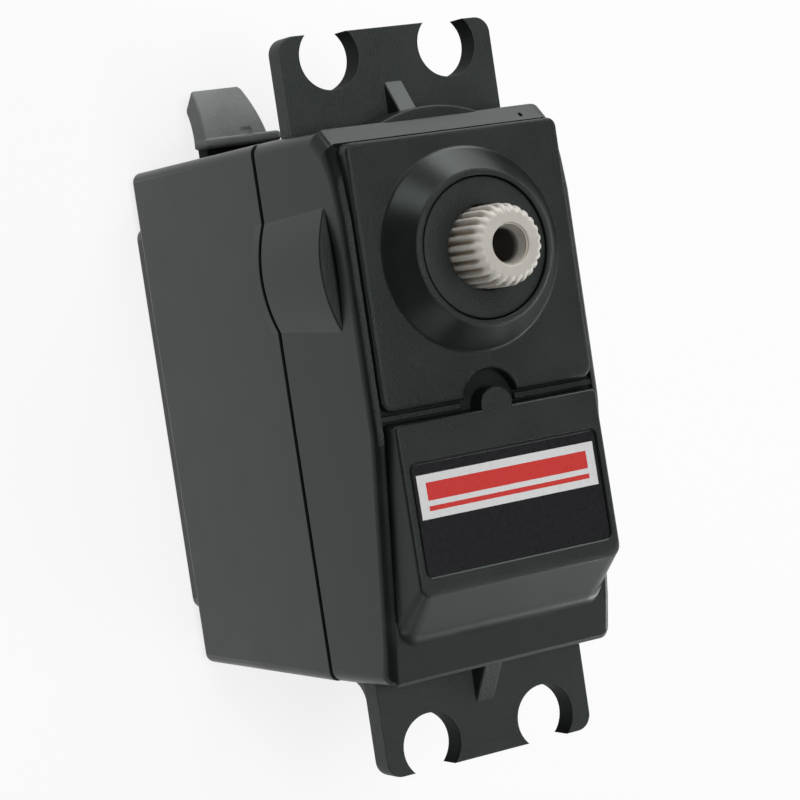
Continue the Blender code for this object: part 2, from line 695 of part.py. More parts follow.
def potentiometer(black, track_brown, nylon, brass):
    low, high = POT_Z
    bore = POT_SHAFT_R + RUN
    neck_top = PLATE_Z[1] - 0.1
    shell = [(POT_R, low), (POT_R, high), (POT_NECK_R, high), (POT_NECK_R, neck_top), (bore, neck_top)]
    shell += [(bore, high - 1.3), (POT_R - 0.7, high - 1.3), (POT_R - 0.7, low)]
    make("pot_housing", turned_ring(shell), black, OUTPUT_X)
    track = [(4.55, low + 0.1), (4.55, low + 1.0), (3.8, low + 1.2), (2.6, low + 1.2), (0.9, low + 1.0)]
    make("pot_track", turned_ring(track + [(0.9, low + 0.1)]), track_brown, OUTPUT_X)
    wiper_low, wiper_high = WIPER_Z
    round_end, flat_start, tip = POT_SHAFT_STEPS
    steps = [(WIPER_R, wiper_low), (WIPER_R, wiper_high)]
    steps += [(POT_SHAFT_R, wiper_high), (POT_SHAFT_R, round_end)]
    rings = [lift(circle(radius, ROUND), z) for radius, z in steps]
    rings += [lift(flatted_circle(POT_SHAFT_R, POT_FLAT, ROUND), z) for z in (flat_start, tip)]
    make("pot_shaft", loft(rings), nylon, OUTPUT_X)
    for number in range(3):
        x = OUTPUT_X + 2.5 * (number - 1)
        leg = box((x - 0.4, x + 0.4), (-3.65, -3.35), (BOARD_Z[1] + 0.1, low))
        make(f"pot_terminal_{number + 1}", leg, brass)


def control_board(green, chip_black, can_blue):
    make("control_board", box(BOARD_X, (-BOARD_HALF_W, BOARD_HALF_W), BOARD_Z), green)
    base = BOARD_Z[1] + 0.1
    for name, (y, half_x, half_y) in CHIPS.items():
        rings = []
        for inset, z in ((0.15, base), (0.0, base + CHIP_H / 2), (0.15, base + CHIP_H)):
            reach_x, reach_y = half_x - inset, half_y - inset
            outline = [(-reach_x, -reach_y), (reach_x, -reach_y), (reach_x, reach_y), (-reach_x, reach_y)]
            rings.append([(CHIP_X + dx, y + dy, z) for dx, dy in outline])
        make(name, loft(rings), chip_black)
    sleeve = [(1.9, base), (2.0, base + 0.3), (2.0, base + 4.7), (1.7, base + 5.0)]
    make("capacitor", turned(sleeve, SMALL, *CAPACITOR_AT), can_blue)


def main():
    clear_scene()
    case_black = finish("black moulded plastic", (0.025, 0.026, 0.026), 0.55)
    nylon = finish("grey-beige nylon", (0.58, 0.55, 0.52), 0.5)
    white_nylon = finish("white nylon", (0.8, 0.79, 0.75), 0.45)
    steel = finish("steel", (0.6, 0.6, 0.6), 0.35, 1.0)
    brass = finish("brass", (0.72, 0.55, 0.28), 0.35, 1.0)
    rubber = finish("black rubber", (0.06, 0.06, 0.06), 0.8)
    sticker = finish("sticker", (0.02, 0.02, 0.022), 0.25)
    dark = finish("dark plastic", (0.03, 0.03, 0.03), 0.4)
    rear_case(case_black)
    front_case(case_black)
    label(sticker)
    case_screws(steel)
    strain_relief(rubber)
    output_bushing(case_black)
    output_gear(nylon)
    idler_gears(white_nylon)
    idler_axle(steel)
    gear_plate(dark)
    magnet = finish("magnet", (0.05, 0.05, 0.055), 0.6)
    bronze = finish("bronze", (0.5, 0.36, 0.2), 0.45, 1.0)
    motor_case(steel, magnet, white_nylon, bronze)
    motor_contacts(finish("carbon", (0.04, 0.04, 0.04), 0.7), brass)
    lamination = finish("laminations", (0.3, 0.3, 0.32), 0.5, 1.0)
    rotor(steel, lamination, finish("copper wire", (0.7, 0.33, 0.18), 0.35, 1.0), brass)
    potentiometer(dark, finish("track board", (0.35, 0.2, 0.1), 0.5), white_nylon, brass)
    board = finish("circuit board", (0.03, 0.2, 0.08), 0.4)
    control_board(board, dark, finish("capacitor sleeve", (0.05, 0.08, 0.25), 0.4))


main()
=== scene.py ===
import math

import bmesh
import bpy
from mathutils import Matrix, Vector


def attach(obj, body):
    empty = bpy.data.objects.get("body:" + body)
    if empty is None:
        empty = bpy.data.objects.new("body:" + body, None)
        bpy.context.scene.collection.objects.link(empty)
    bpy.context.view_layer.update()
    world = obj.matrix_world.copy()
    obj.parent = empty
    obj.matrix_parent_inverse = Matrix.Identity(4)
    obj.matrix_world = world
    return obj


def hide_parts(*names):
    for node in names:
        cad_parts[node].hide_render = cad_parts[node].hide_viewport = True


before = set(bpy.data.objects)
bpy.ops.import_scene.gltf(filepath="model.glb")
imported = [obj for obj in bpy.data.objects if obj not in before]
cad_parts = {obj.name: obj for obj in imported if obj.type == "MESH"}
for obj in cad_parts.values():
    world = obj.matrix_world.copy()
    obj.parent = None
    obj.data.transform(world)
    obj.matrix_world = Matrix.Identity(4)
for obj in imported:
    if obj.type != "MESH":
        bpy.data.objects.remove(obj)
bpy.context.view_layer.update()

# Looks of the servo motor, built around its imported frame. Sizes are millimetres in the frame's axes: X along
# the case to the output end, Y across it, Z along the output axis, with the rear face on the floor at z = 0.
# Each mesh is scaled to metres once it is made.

MM = 0.001

# How far a cutter runs past the shape it cuts
CLEAR = 1.0

# Sides of round shapes
LARGE = 128
ROUND = 64
SMALL = 32

# Case shell
HALF_L = 20.3
HALF_W = 10.0
WALL = 1.2
SEAM = (22.86, 23.14)
LIP_R = 0.12
EDGE_R = 0.75
CORNER_R = 1.0
CORNER_STEPS = 10
INNER_X = 19.0
INNER_Y = 8.8

# Front shell: corners of its side view as (x, z, rounding) and of its inner roof as (x, z), both listed from
# the output end
FRONT_Z = 34.75
ROOF_Z = 33.5
FALL_X = -2.0
FALL_RATE = 0.1743
SIDE_DRAFT = 0.002
FRONT_CORNERS = (
    (HALF_L, 32.3, 0.3),
    (HALF_L - 1.2, 33.6, 0.2),
    (16.5, 34.4, 5.0),
    (13.6, FRONT_Z, 5.0),
    (FALL_X, FRONT_Z, 6.0),
    (-17.2, 32.1, 3.0),
    (0.3 - HALF_L, 31.5, 0.25),
    (-HALF_L, 31.2, 0.2),
)
ROOF_CORNERS = (
    (INNER_X, 31.2),
    (17.6, 32.6),
    (14.0, ROOF_Z),
    (-2.3, ROOF_Z),
    (-17.0, 30.7),
    (-INNER_X, 30.2),
)

# Rear shell, with a low pad under it and a ledge inside each long wall
FLOOR_Z = 1.8
REAR_EDGE_R = 0.7
REAR_DRAFT = 0.12
PAD_H = 0.6
PAD_HALF = (15.8, 9.8)
PAD_CORNER_R = 1.0
PAD_EDGE_R = 0.15
PAD_TOP_Z = FLOOR_Z - 0.4
LEDGE_X = (0.0, 2.0)
LEDGE_Y = (INNER_Y - 1.2, INNER_Y + 0.4)
LEDGE_Z = (4.8, 19.9)

# Front panel, the channel round it, the ridges beside the key, and the groove and pin mark at its output end
PANEL_Z = 35.25
PANEL_X = (-0.3, 19.0)
PANEL_HALF_W = 8.95
PANEL_LOW_R = 0.9
PANEL_HIGH_R = 0.7
PANEL_ROOT_Z = 33.2
PANEL_EDGE_R = 0.24
PANEL_EDGE_STRETCH = 1.5
NOTCH_R = 2.3
NOTCH_TOP_X = 1.6
CHANNEL_X = (-15.5, 17.5)
CHANNEL_HALF_W = 9.07
CHANNEL_Z = 34.25
CHANNEL_END_DEPTH = 0.4
CHANNEL_OPEN_Z = 38.0
LAND_X = (-0.98, -0.52)
LAND_END_Y = 9.2
LAND_Z = (33.8, 34.62)
LAND_EDGE_R = 0.08
GROOVE_X = (18.85, 19.14)
GROOVE_Y = (-9.0, 9.0)
GROOVE_Z = (33.25, 36.0)
PIN_MARK_AT = (19.55, -7.3)
PIN_MARK_R = 0.16
PIN_MARK_Z = (32.6, 34.0)

# Label block: sections as (lower x, half width, lower corner radius, upper z, lower z), then a rounded brow
# that draws in by its own amount at the upper end, the lower edge and the sides
BLOCK_TOP_X = -1.2
BLOCK_EDGE_X = -13.5
BLOCK_Z = (35.8, 36.1)
BLOCK_UPPER_R = 0.4
BLOCK_UPPER_X = BLOCK_TOP_X + 0.05
BLOCK_SECTIONS = (
    (-18.9, 9.02, 1.6, 33.8, 31.5),
    (-17.6, 9.0, 1.5, 34.2, 32.0),
    (-17.15, 8.97, 1.5, 34.2, 32.18),
    (-16.8, 8.94, 1.5, 34.2, 32.45),
    (-16.55, 8.91, 1.5, 34.2, 32.75),
)
BROW_X = -13.8
BROW_HALF_W = 8.68
BROW_CORNER_R = 0.9
BROW_DRAW = (0.2, 0.8, 0.28)
BROW_HEIGHT = 0.32
KEY_X = BLOCK_TOP_X + 0.17
KEY_R = 1.33
KEY_ROOT_Z = 34.0
KEY_EDGE_R = 0.12

# Label and its recess: sections as (growth of the outline, offset from the block's face), and its print
LABEL_X = (-4.1, -12.3)
LABEL_HALF_W = 8.0
LABEL_DEPTH = 0.25
LABEL_CORNER_R = 0.5
RECESS_SECTIONS = ((0.0, -LABEL_DEPTH), (0.0, -0.1), (0.1, 0.0), (0.1, CLEAR))
LABEL_SECTIONS = ((-0.12, 0.07 - LABEL_DEPTH), (-0.12, -0.07), (-0.15, -0.05))
PRINT_HALF_W = 7.6
PALE_BAND_X = (-8.2, -5.0)
STRIPES_X = ((-6.9, -5.6), (-7.65, -7.3))
STRIPE_HALF_W = 6.9

# Mounting tabs, with a gusset on each and a web under the lower one
TAB_L = 55.0
TAB_HALF_W = 9.05
TAB_Z = (26.0, 27.9)
TAB_CORNER_R = 1.2
TAB_EDGE_R = 0.1
TAB_ROOT_X = HALF_L - WALL / 2
SLOT_X = 25.75
SLOT_Y = 5.05
SLOT_R = 2.45
RIB_ROOT_Z = TAB_Z[0] + 0.4
RIB_EDGE_R = 0.15
GUSSET_HALF_W = 0.8
GUSSET_REACH = 23.4
GUSSET_TOP = 30.1
WEB_R = 1.8
WEB_HALF_W = TAB_HALF_W - 0.02

# Axes, the swelling round the gears, the lens-shaped dip beyond its end and the seat of the idler axle
OUTPUT_X = 10.3
IDLER_X = -1.7
POCKET_R = 9.75
PLATE_TOP_Z = 21.5
BULGE_R = 10.8
BULGE_Z = (21.2, 32.4)
BULGE_FOOT = (
    (BULGE_R - 0.9, BULGE_Z[0] - 0.2),
    (BULGE_R - 0.3, BULGE_Z[0] + 0.1),
    (BULGE_R, BULGE_Z[0] + 0.5),
)
BULGE_LIP = 0.1
BULGE_EDGE_R = 0.2
BULGE_FACE_R = POCKET_R + 0.1
POCKET_TOP_Z = BULGE_Z[1] - 0.6
DIP_HALF_L = 4.0
DIP_RISE = 0.6
DIP_LOW_Z = BULGE_Z[1] - 0.3
DIP_Y = (HALF_W - 0.7, HALF_W + 0.5)
AXLE_BOSS_R = 2.2
AXLE_BOSS_Z = (32.0, ROOF_Z + 0.3)
AXLE_HOLE_R = 1.05
AXLE_HOLE_Z = (31.0, 33.3)

# Cone round the output and the hole for its bushing, as (radius, z) steps
RIM_Z = 37.45
CONE_STEPS = (
    (8.6, 33.75),
    (7.66, 35.18),
    (7.46, 35.3),
    (7.27, 35.46),
    (5.78, 37.2),
    (5.72, 37.3),
    (5.62, 37.37),
    (5.36, RIM_Z),
)
BUSHING_R = 5.1
MOUTH_R = BUSHING_R + 0.1
MOUTH_EDGE = 0.08
MOUTH_STEPS = (
    (MOUTH_R, 31.0),
    (MOUTH_R, RIM_Z - 0.06),
    (MOUTH_R + MOUTH_EDGE, RIM_Z + 0.02),
    (MOUTH_R + MOUTH_EDGE, RIM_Z + CLEAR),
)

# Bushing: its outer edge and the mouth of its bore as (draw, drop) steps
BUSHING_Z = (33.0, 37.4)
BUSHING_BORE_R = 3.06
BUSHING_EDGE = ((0.0, 0.14), (0.06, 0.06), (0.26, 0.0))
BUSHING_MOUTH = ((0.2, 0.0), (0.05, 0.06), (0.0, 0.2))

# Output gear: wheel and hub, then the spline and its bore, whose ends are (radius, depth below the tip) steps
WHEEL_TEETH = 36
WHEEL_MODULE = 0.5
WHEEL_PRESSURE = 25
WHEEL_TIP = 0.8 * WHEEL_MODULE
WHEEL_BACKLASH = 0.07
WHEEL_Z = (28.4, 31.2)
HUB_R = 4.2
HUB_Z = (28.2, 32.7)
JOURNAL_R = 3.0
JOURNAL_TOP_Z = RIM_Z - 1.6
SPLINE_TEETH = 25
SPLINE_R = 2.98
SPLINE_ROOT_R = 2.66
SPLINE_FACE_R = 2.27
SPLINE_LEAST_DEPTH = 0.12
SPLINE_LOW_Z = RIM_Z - 1.8
SPLINE_TIP_Z = 40.8
SPLINE_END = (
    (SPLINE_R, 1.05),
    (2.94, 0.8),
    (2.86, 0.56),
    (2.74, 0.34),
    (2.58, 0.16),
    (2.42, 0.05),
    (SPLINE_FACE_R, 0.0),
)
# Places of a tooth's points, as shares of the pitch, and where its flank ends and how wide the flank is
SPLINE_SHARES = (-0.5, -0.42, -0.35, -0.28, -0.21, -0.14, 0.0, 0.14, 0.21, 0.28, 0.35, 0.42)
FLANK_END = 0.44
FLANK_WIDTH = 0.32
BORE_R = 1.2
BORE_LOW_Z = 33.5
BORE_END = (
    (BORE_R, 1.15),
    (1.26, 0.95),
    (1.38, 0.4),
    (1.42, 0.2),
    (1.5, 0.16),
    (1.53, 0.05),
    (1.6, 0.0),
    (1.6, -CLEAR),
)
SOCKET_R = 1.66
SOCKET_FLAT = 1.16
SOCKET_Z = (27.0, 31.1)

# Case screws, their columns, and their holes as (radius, z) steps
SCREWS = [(sx * 18.2, sy * 8.0) for sx in (-1, 1) for sy in (-1, 1)]
SCREW_R = 0.9
SCREW_END_Z = 30.0
SCREW_TIP_R = 0.3
SCREW_TIP_L = 0.6
HEAD_R = 1.5
HEAD_Z = 1.0
HEAD_H = 1.4
HEAD_EDGE_R = 0.4
CROSS_HALF = (0.9, 0.22)
CROSS_CORNER_R = 0.1
CROSS_DEPTH = 0.7
REAR_BOSS_R = 1.9
REAR_BOSS_Z = (FLOOR_Z - 0.5, SEAM[0])
FRONT_BOSS_R = 1.7
FRONT_BOSS_Z = (SEAM[1], 31.0)
THREAD_R = SCREW_R + 0.05
THREAD_Z = (SEAM[0] - CLEAR, SCREW_END_Z + 0.2)
SHANK_HOLE_R = SCREW_R + 0.15
HEAD_HOLE_R = HEAD_R + 0.15
HEAD_HOLE_EDGE = 0.15
SEAT_Z = HEAD_Z + HEAD_H + 0.1
SCREW_HOLE_STEPS = (
    (HEAD_HOLE_R + HEAD_HOLE_EDGE, 0.0),
    (HEAD_HOLE_R + HEAD_HOLE_EDGE, PAD_H - 0.01),
    (HEAD_HOLE_R, PAD_H + HEAD_HOLE_EDGE),
    (HEAD_HOLE_R, SEAT_Z),
    (SHANK_HOLE_R, SEAT_Z),
    (SHANK_HOLE_R, SEAM[0] + CLEAR),
)

# Strain relief boot: straight stations as (x, half width, half thickness), then a bend in XZ along which both
# halves taper
BOOT_Y = 2.0
BOOT_Z = 4.1
BOOT_WINDOW = (2.8, 1.1)
BOOT_INSIDE_X = INNER_X - 0.15
BOOT_STATIONS = (
    (BOOT_INSIDE_X - 0.9, 3.5, 1.5),
    (BOOT_INSIDE_X, 3.5, 1.5),
    (BOOT_INSIDE_X + 0.02, 2.7, 0.9),
    (21.35, 2.7, 0.9),
    (21.4, 2.8, 1.1),
)
BOOT_BEND = ((21.75, 4.1), (23.65, 3.6), (25.4, 1.9))
BOOT_HALF = (2.85, 1.15)
BOOT_TAPER = (0.63, 0.05)
BOOT_TIP_EASE = 0.06
BOOT_CORNER_R = 0.2
BOOT_BORE = (1.7, 0.55)
BOOT_BORE_X = (BOOT_INSIDE_X - 2.0, HALF_L)
# Faces nearer the wall than this are painted black: painted shade in the gap under the bead
BOOT_PAINTED_SHADE_X = 21.19

# Bead on the boot, its edge as (x, inset) steps, and the dent beside it as (radius, z) steps
BEAD_HALF = (3.45, 1.3)
BEAD_SHIFT = (-0.5, 0.3)
BEAD_CORNER_R = 0.45
BEAD_EDGE = (
    (21.2, 0.34),
    (21.23, 0.2),
    (21.32, 0.08),
    (21.45, 0.0),
    (21.8, 0.0),
    (21.95, 0.06),
    (22.05, 0.2),
)
DENT_AT = (22.5, 1.0)
DENT_STEPS = ((0.1, 4.93), (0.45, 5.0), (0.62, 5.15), (0.62, 6.0))

# Mesh clean-up and shading: faces larger than the flat area, in square millimetres, are shaded flat
MERGE_DISTANCE = 0.002
SHARP_ANGLE = 32
FLAT_AREA = 12.0

# Finishes of the front case, in the order of its materials, and the margins by which its faces are sorted
SMOOTH, GRAINED, MATT, TAB_GRAINED_PAINTED_LIGHT = range(4)
NEAR = 0.05
NEAR_SLOT = 0.03
FACING_FRONT = 0.8

# Colours, as (dark, light) pairs where a finish is patchy
BLACK = ((0.0078, 0.009, 0.0087), (0.0115, 0.013, 0.0126))
GRAINED_BLACK = ((0.0105, 0.012, 0.0117), (0.0155, 0.0176, 0.0172))
# The tabs' grained black, lighter than the panel's though they face the same way: painted light
TAB_BLACK_PAINTED_LIGHT = ((0.016, 0.0182, 0.0177), (0.021, 0.0238, 0.0232))
INNER_BLACK = ((0.025, 0.025, 0.025), (0.035, 0.035, 0.035))
RUBBER = ((0.165, 0.174, 0.169), (0.2, 0.21, 0.205))
STEEL = ((0.5, 0.5, 0.51), (0.62, 0.62, 0.62))
NYLON = ((0.42, 0.403, 0.362), (0.505, 0.487, 0.445))
NYLON_STAIN = (0.24, 0.175, 0.105)
# Painted shade: the dark colour laid far down the output's bore
NYLON_PAINTED_SHADE = (0.07, 0.066, 0.06)
PRINT_BLACK = ((0.012, 0.012, 0.014), (0.016, 0.016, 0.018))
PRINT_WHITE = ((0.60, 0.61, 0.61), (0.68, 0.68, 0.68))
PRINT_RED = (0.55, 0.045, 0.04)
FLOOR_WHITE = (0.88, 0.88, 0.88)
UNTINTED = (1.0, 1.0, 1.0)
COOL = (0.88, 1.0, 0.97)

# Ranges that hold most of a noise's values, the wide one and the middle one
NOISE_RANGE = (0.3, 0.7)
NOISE_MIDDLE = (0.35, 0.65)

# Sizes of the patches on plastic and metal, and the stretch and depth of drawn lines
PATCH_SIZE = 3.5
TARNISH_SIZE = 2.0
LINE_STRETCH = (1.0, 1.0, 0.12)
LINE_DEPTH = 0.003

# Where the output's nylon is stained, and where its bore is darkened as painted shade: rings by radius, and
# radii or heights between which each fades
TEETH_RING = (2.4, 3.2)
TEETH_FADE_R = (SPLINE_ROOT_R, 2.88)
TEETH_FADE_Z = (39.6, 40.3)
TEETH_STAIN = 0.8
MOUTH_RING = (1.40, 1.52)
MOUTH_FADE_Z = (40.55, 40.7)
MOUTH_STAIN = 0.7
# Painted shade in the bore: its ring by radius and the heights over which it fades in
BORE_SHADE_RING = (0.0, 1.3)
BORE_SHADE_FADE_Z = (39.2, 39.9)

# Camera: a long lens that looks down on the front and the +Y side, with +X up in the picture
LENS = 123.0
SENSOR = 36.0
CLIP_START = 10.0
CAMERA_AT = (11.81, 103.13, 203.76)
CAMERA_RIGHT = (-0.1482, -0.8560, 0.4952)
CAMERA_FORWARD = (-0.0583, -0.4923, -0.8685)

# Stage: soft boxes as (name, place, size, watts), all turned to one target
WORLD_LEVEL = 0.035
FLOOR_GLOW = 0.8
FLOOR_HALF = 1500.0
FLOOR_GRAIN = 6.0
LIGHT_TARGET = (0.0, 0.0, 25.0)
SOFT_BOXES = (
    ("overhead", (20, 60, 560), (220, 220), 1.95),
    ("upper_end", (400, -190, 90), (300, 280), 1.75),
    ("upper_left", (390, 200, 110), (180, 180), 0.45),
    ("lower_end", (-400, -200, 90), (300, 180), 0.14),
    ("lower_left", (-390, 160, 80), (180, 180), 0.2),
    ("lower_high", (-300, -290, 430), (260, 260), 0.34),
    ("far_side", (-260, -400, 60), (420, 100), 1.4),
)


# Outlines and solids

def arc(x, y, radius, start, end, steps):
    """Points on an arc, angles in degrees, both ends included."""
    angles = [math.radians(start + (end - start) * i / steps) for i in range(steps + 1)]
    return [(x + radius * math.cos(a), y + radius * math.sin(a)) for a in angles]


def circle(radius, sides, x=0.0, y=0.0):
    return arc(x, y, radius, 0, 360 - 360 / sides, sides - 1)


def round_rect(half_x, half_y, radius, steps=6):
    points = []
    for turn, (sx, sy) in enumerate(((1, 1), (-1, 1), (-1, -1), (1, -1))):
        centre = (sx * (half_x - radius), sy * (half_y - radius))
        points += arc(*centre, radius, turn * 90, turn * 90 + 90, steps)
    return points


def filleted(corners, steps=5):
    """A closed outline from corners (x, y, radius), each rounded by its own radius."""
    points = []
    for i, (x, y, radius) in enumerate(corners):
        corner = Vector((x, y))
        before = (Vector(corners[i - 1][:2]) - corner).normalized()
        after = (Vector(corners[(i + 1) % len(corners)][:2]) - corner).normalized()
        half = before.angle(after) / 2
        centre = corner + (before + after).normalized() * radius / math.sin(half)
        start = corner + before * radius / math.tan(half) - centre
        end = corner + after * radius / math.tan(half) - centre
        first = math.atan2(start.y, start.x)
        sweep = (math.atan2(end.y, end.x) - first + math.pi) % (2 * math.pi) - math.pi
        points += arc(*centre, radius, math.degrees(first), math.degrees(first + sweep), steps)
    return points


def inset(outline, distance):
    """Move a closed outline inwards, edge by edge."""
    count = len(outline)
    area = sum(outline[i - 1][0] * outline[i][1] - outline[i][0] * outline[i - 1][1] for i in range(count))
    inward = math.copysign(1.0, area)
    moved = []
    for i in range(count):
        here = Vector(outline[i])
        along = (here - Vector(outline[i - 1])).normalized()
        onward = (Vector(outline[(i + 1) % count]) - here).normalized()
        normals = Vector((-along.y, along.x)), Vector((-onward.y, onward.x))
        mitre = (normals[0] + normals[1]) / (1 + normals[0].dot(normals[1]))
        moved.append(tuple(here + mitre * distance * inward))
    return moved


def eased(radius, steps=4):
    """(inset, drop) round a quarter circle, from the side wall to the face."""
    turns = [math.pi / 2 * i / steps for i in range(steps + 1)]
    return [(radius * (1 - math.cos(a)), radius * (1 - math.sin(a))) for a in turns]


def on_side(side, near, far):
    """The range between two distances from the middle, on the + or - side."""
    return sorted((side * near, side * far))


def lift(outline, z):
    return [(x, y, z) for x, y in outline]


def loft(rings):
    """Skin equal-length rings of points and close both ends."""
    count = len(rings[0])
    points = [point for ring in rings for point in ring]
    faces = [tuple(range(count)), tuple(range(len(points) - count, len(points)))]
    for start in range(0, len(points) - count, count):
        for i in range(count):
            j = (i + 1) % count
            faces.append((start + i, start + j, start + count + j, start + count + i))
    return points, faces


def prism(outline, low, high, low_round=0.0, high_round=0.0, steps=4):
    """An outline in XY extruded along Z, with rounded edges where a radius is given."""
    rings = []
    for step, drop in reversed(eased(low_round, steps) if low_round else [(0.0, 0.0)]):
        rings.append(lift(inset(outline, step), low + drop))
    for step, drop in eased(high_round, steps) if high_round else [(0.0, 0.0)]:
        rings.append(lift(inset(outline, step), high - drop))
    return loft(rings)


def side_prism(outline, low, high, radius=0.0):
    """An outline in XZ extruded along Y, with both ends rounded where a radius is given."""
    edge = eased(radius) if radius else [(0.0, 0.0)]
    sections = [(low + drop, step) for step, drop in reversed(edge)]
    sections += [(high - drop, step) for step, drop in edge]
    return loft([[(x, y, z) for x, z in inset(outline, step)] for y, step in sections])


def box(x, y, z, high_round=0.0):
    """A block between three ranges, with its upper edges rounded where a radius is given."""
    outline = [(x[0], y[0]), (x[1], y[0]), (x[1], y[1]), (x[0], y[1])]
    return prism(outline, z[0], z[1], 0.0, high_round)


def turned(profile, sides=ROUND, x=0.0, y=0.0):
    """A solid turned about Z from (radius, height) steps."""
    return loft([lift(circle(radius, sides, x, y), z) for radius, z in profile])


def rod(radius, z, sides, x, y=0.0):
    """A plain round rod between two heights."""
    return turned([(radius, z[0]), (radius, z[1])], sides, x, y)


def turned_ring(profile, sides, x):
    """A ring turned about Z from a closed (radius, height) profile."""
    points = [point for radius, z in profile for point in lift(circle(radius, sides, x), z)]
    faces = []
    for ring in range(len(profile)):
        here, there = ring * sides, (ring + 1) % len(profile) * sides
        for i in range(sides):
            j = (i + 1) % sides
            faces.append((here + i, here + j, there + j, there + i))
    return points, faces


# Objects

def make(name, shape):
    """Turn (points, faces) in millimetres into an object in metres."""
    points, faces = shape
    mesh = bpy.data.meshes.new(name)
    mesh.from_pydata([(x * MM, y * MM, z * MM) for x, y, z in points], [], faces)
    bm = bmesh.new()
    bm.from_mesh(mesh)
    bmesh.ops.recalc_face_normals(bm, faces=bm.faces)
    bm.to_mesh(mesh)
    bm.free()
    obj = bpy.data.objects.new(name, mesh)
    bpy.context.scene.collection.objects.link(obj)
    return obj


def combine(target, operation, shapes):
    """Add or cut each shape, in order, with an exact Boolean that is applied at once."""
    for shape in shapes:
        other = make("tool", shape)
        step = target.modifiers.new("step", "BOOLEAN")
        step.operation = operation
        step.solver = "EXACT"
        step.object = other
        graph = bpy.context.evaluated_depsgraph_get()
        result = bpy.data.meshes.new_from_object(target.evaluated_get(graph))
        target.modifiers.clear()
        old = target.data
        target.data = result
        result.name = target.name
        bpy.data.meshes.remove(old)
        tool_mesh = other.data
        bpy.data.objects.remove(other)
        bpy.data.meshes.remove(tool_mesh)


def add(target, *shapes):
    combine(target, "UNION", shapes)


def cut(target, *shapes):
    combine(target, "DIFFERENCE", shapes)


def clean(mesh):
    """Merge doubled points and remove faces without area."""
    bm = bmesh.new()
    bm.from_mesh(mesh)
    bmesh.ops.remove_doubles(bm, verts=bm.verts, dist=MERGE_DISTANCE * MM)
    bmesh.ops.dissolve_degenerate(bm, edges=bm.edges, dist=MERGE_DISTANCE * MM)
    bm.to_mesh(mesh)
    bm.free()


def paint(mesh, materials, choose):
    """Give each face the material that its centre and normal call for, or else the first one."""
    mesh.materials.clear()
    for item in materials:
        mesh.materials.append(item)
    for face in mesh.polygons:
        face.material_index = choose(face.center / MM, face.normal) if choose else 0


def shade(obj):
    """Smooth the small faces between sharp edges, and weigh the normals by area."""
    mesh = obj.data
    mesh.shade_smooth()
    mesh.set_sharp_from_angle(angle=math.radians(SHARP_ANGLE))
    for face in mesh.polygons:
        face.use_smooth = face.area < FLAT_AREA * MM**2
    weights = obj.modifiers.new("even shading", "WEIGHTED_NORMAL")
    weights.keep_sharp = True
    weights.weight = 100


def dress(obj, body, nodes, materials, choose=None):
    """Finish a piece and hang it on its body in place of the CAD nodes."""
    clean(obj.data)
    paint(obj.data, materials, choose)
    shade(obj)
    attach(obj, body)
    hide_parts(*nodes)
    return obj


# Front case

def block_face_z(x):
    """Height of the label block's slightly tilted front face."""
    share = (BLOCK_TOP_X - x) / (BLOCK_TOP_X - BLOCK_EDGE_X)
    return BLOCK_Z[0] + share * (BLOCK_Z[1] - BLOCK_Z[0])


def slope_z(x):
    """Height of the case's front rim beside the label block."""
    return FRONT_Z - max(0.0, FALL_X - x) * FALL_RATE


def rounding(radius, drop):
    """How far a rounded edge draws in at a depth below the face it ends on."""
    left = max(0.0, radius - drop)
    return radius - math.sqrt(radius**2 - left**2)


def front_profile(drop):
    """Side view of the front case at a depth below its side face, with every edge rounded."""
    draw = rounding(CORNER_R, drop)
    step = rounding(EDGE_R, drop)
    low = SEAM[1] + max(0.0, LIP_R - drop)
    corners = [(draw - HALF_L, low, LIP_R), (HALF_L - draw, low, LIP_R)]
    for x, z, radius in FRONT_CORNERS:
        in_end_wall = abs(x) > INNER_X
        corners.append((x - math.copysign(draw, x) if in_end_wall else x, z - step, radius))
    return filleted(corners)


def front_body():
    """The front case without its features, its sides drawn in a little towards the front."""
    turns = [math.pi / 2 * i / CORNER_STEPS for i in range(CORNER_STEPS + 1)]
    drops = [CORNER_R * (1 - math.cos(a)) for a in turns]
    sections = [(drop - HALF_W, drop) for drop in drops]
    sections += [(HALF_W - drop, drop) for drop in reversed(drops)]
    rings = []
    for y, drop in sections:
        rings.append([(x, y * (1 - SIDE_DRAFT * (z - SEAM[1])), z) for x, z in front_profile(drop)])
    return loft(rings)


def front_channel():
    """Groove that runs round the panel and beside the label block."""
    low, high = CHANNEL_X
    outline = [(low, slope_z(low) - CHANNEL_END_DEPTH), (FALL_X, CHANNEL_Z), (high, CHANNEL_Z)]
    outline += [(high, CHANNEL_OPEN_Z), (low, CHANNEL_OPEN_Z)]
    return side_prism(outline, -CHANNEL_HALF_W, CHANNEL_HALF_W)


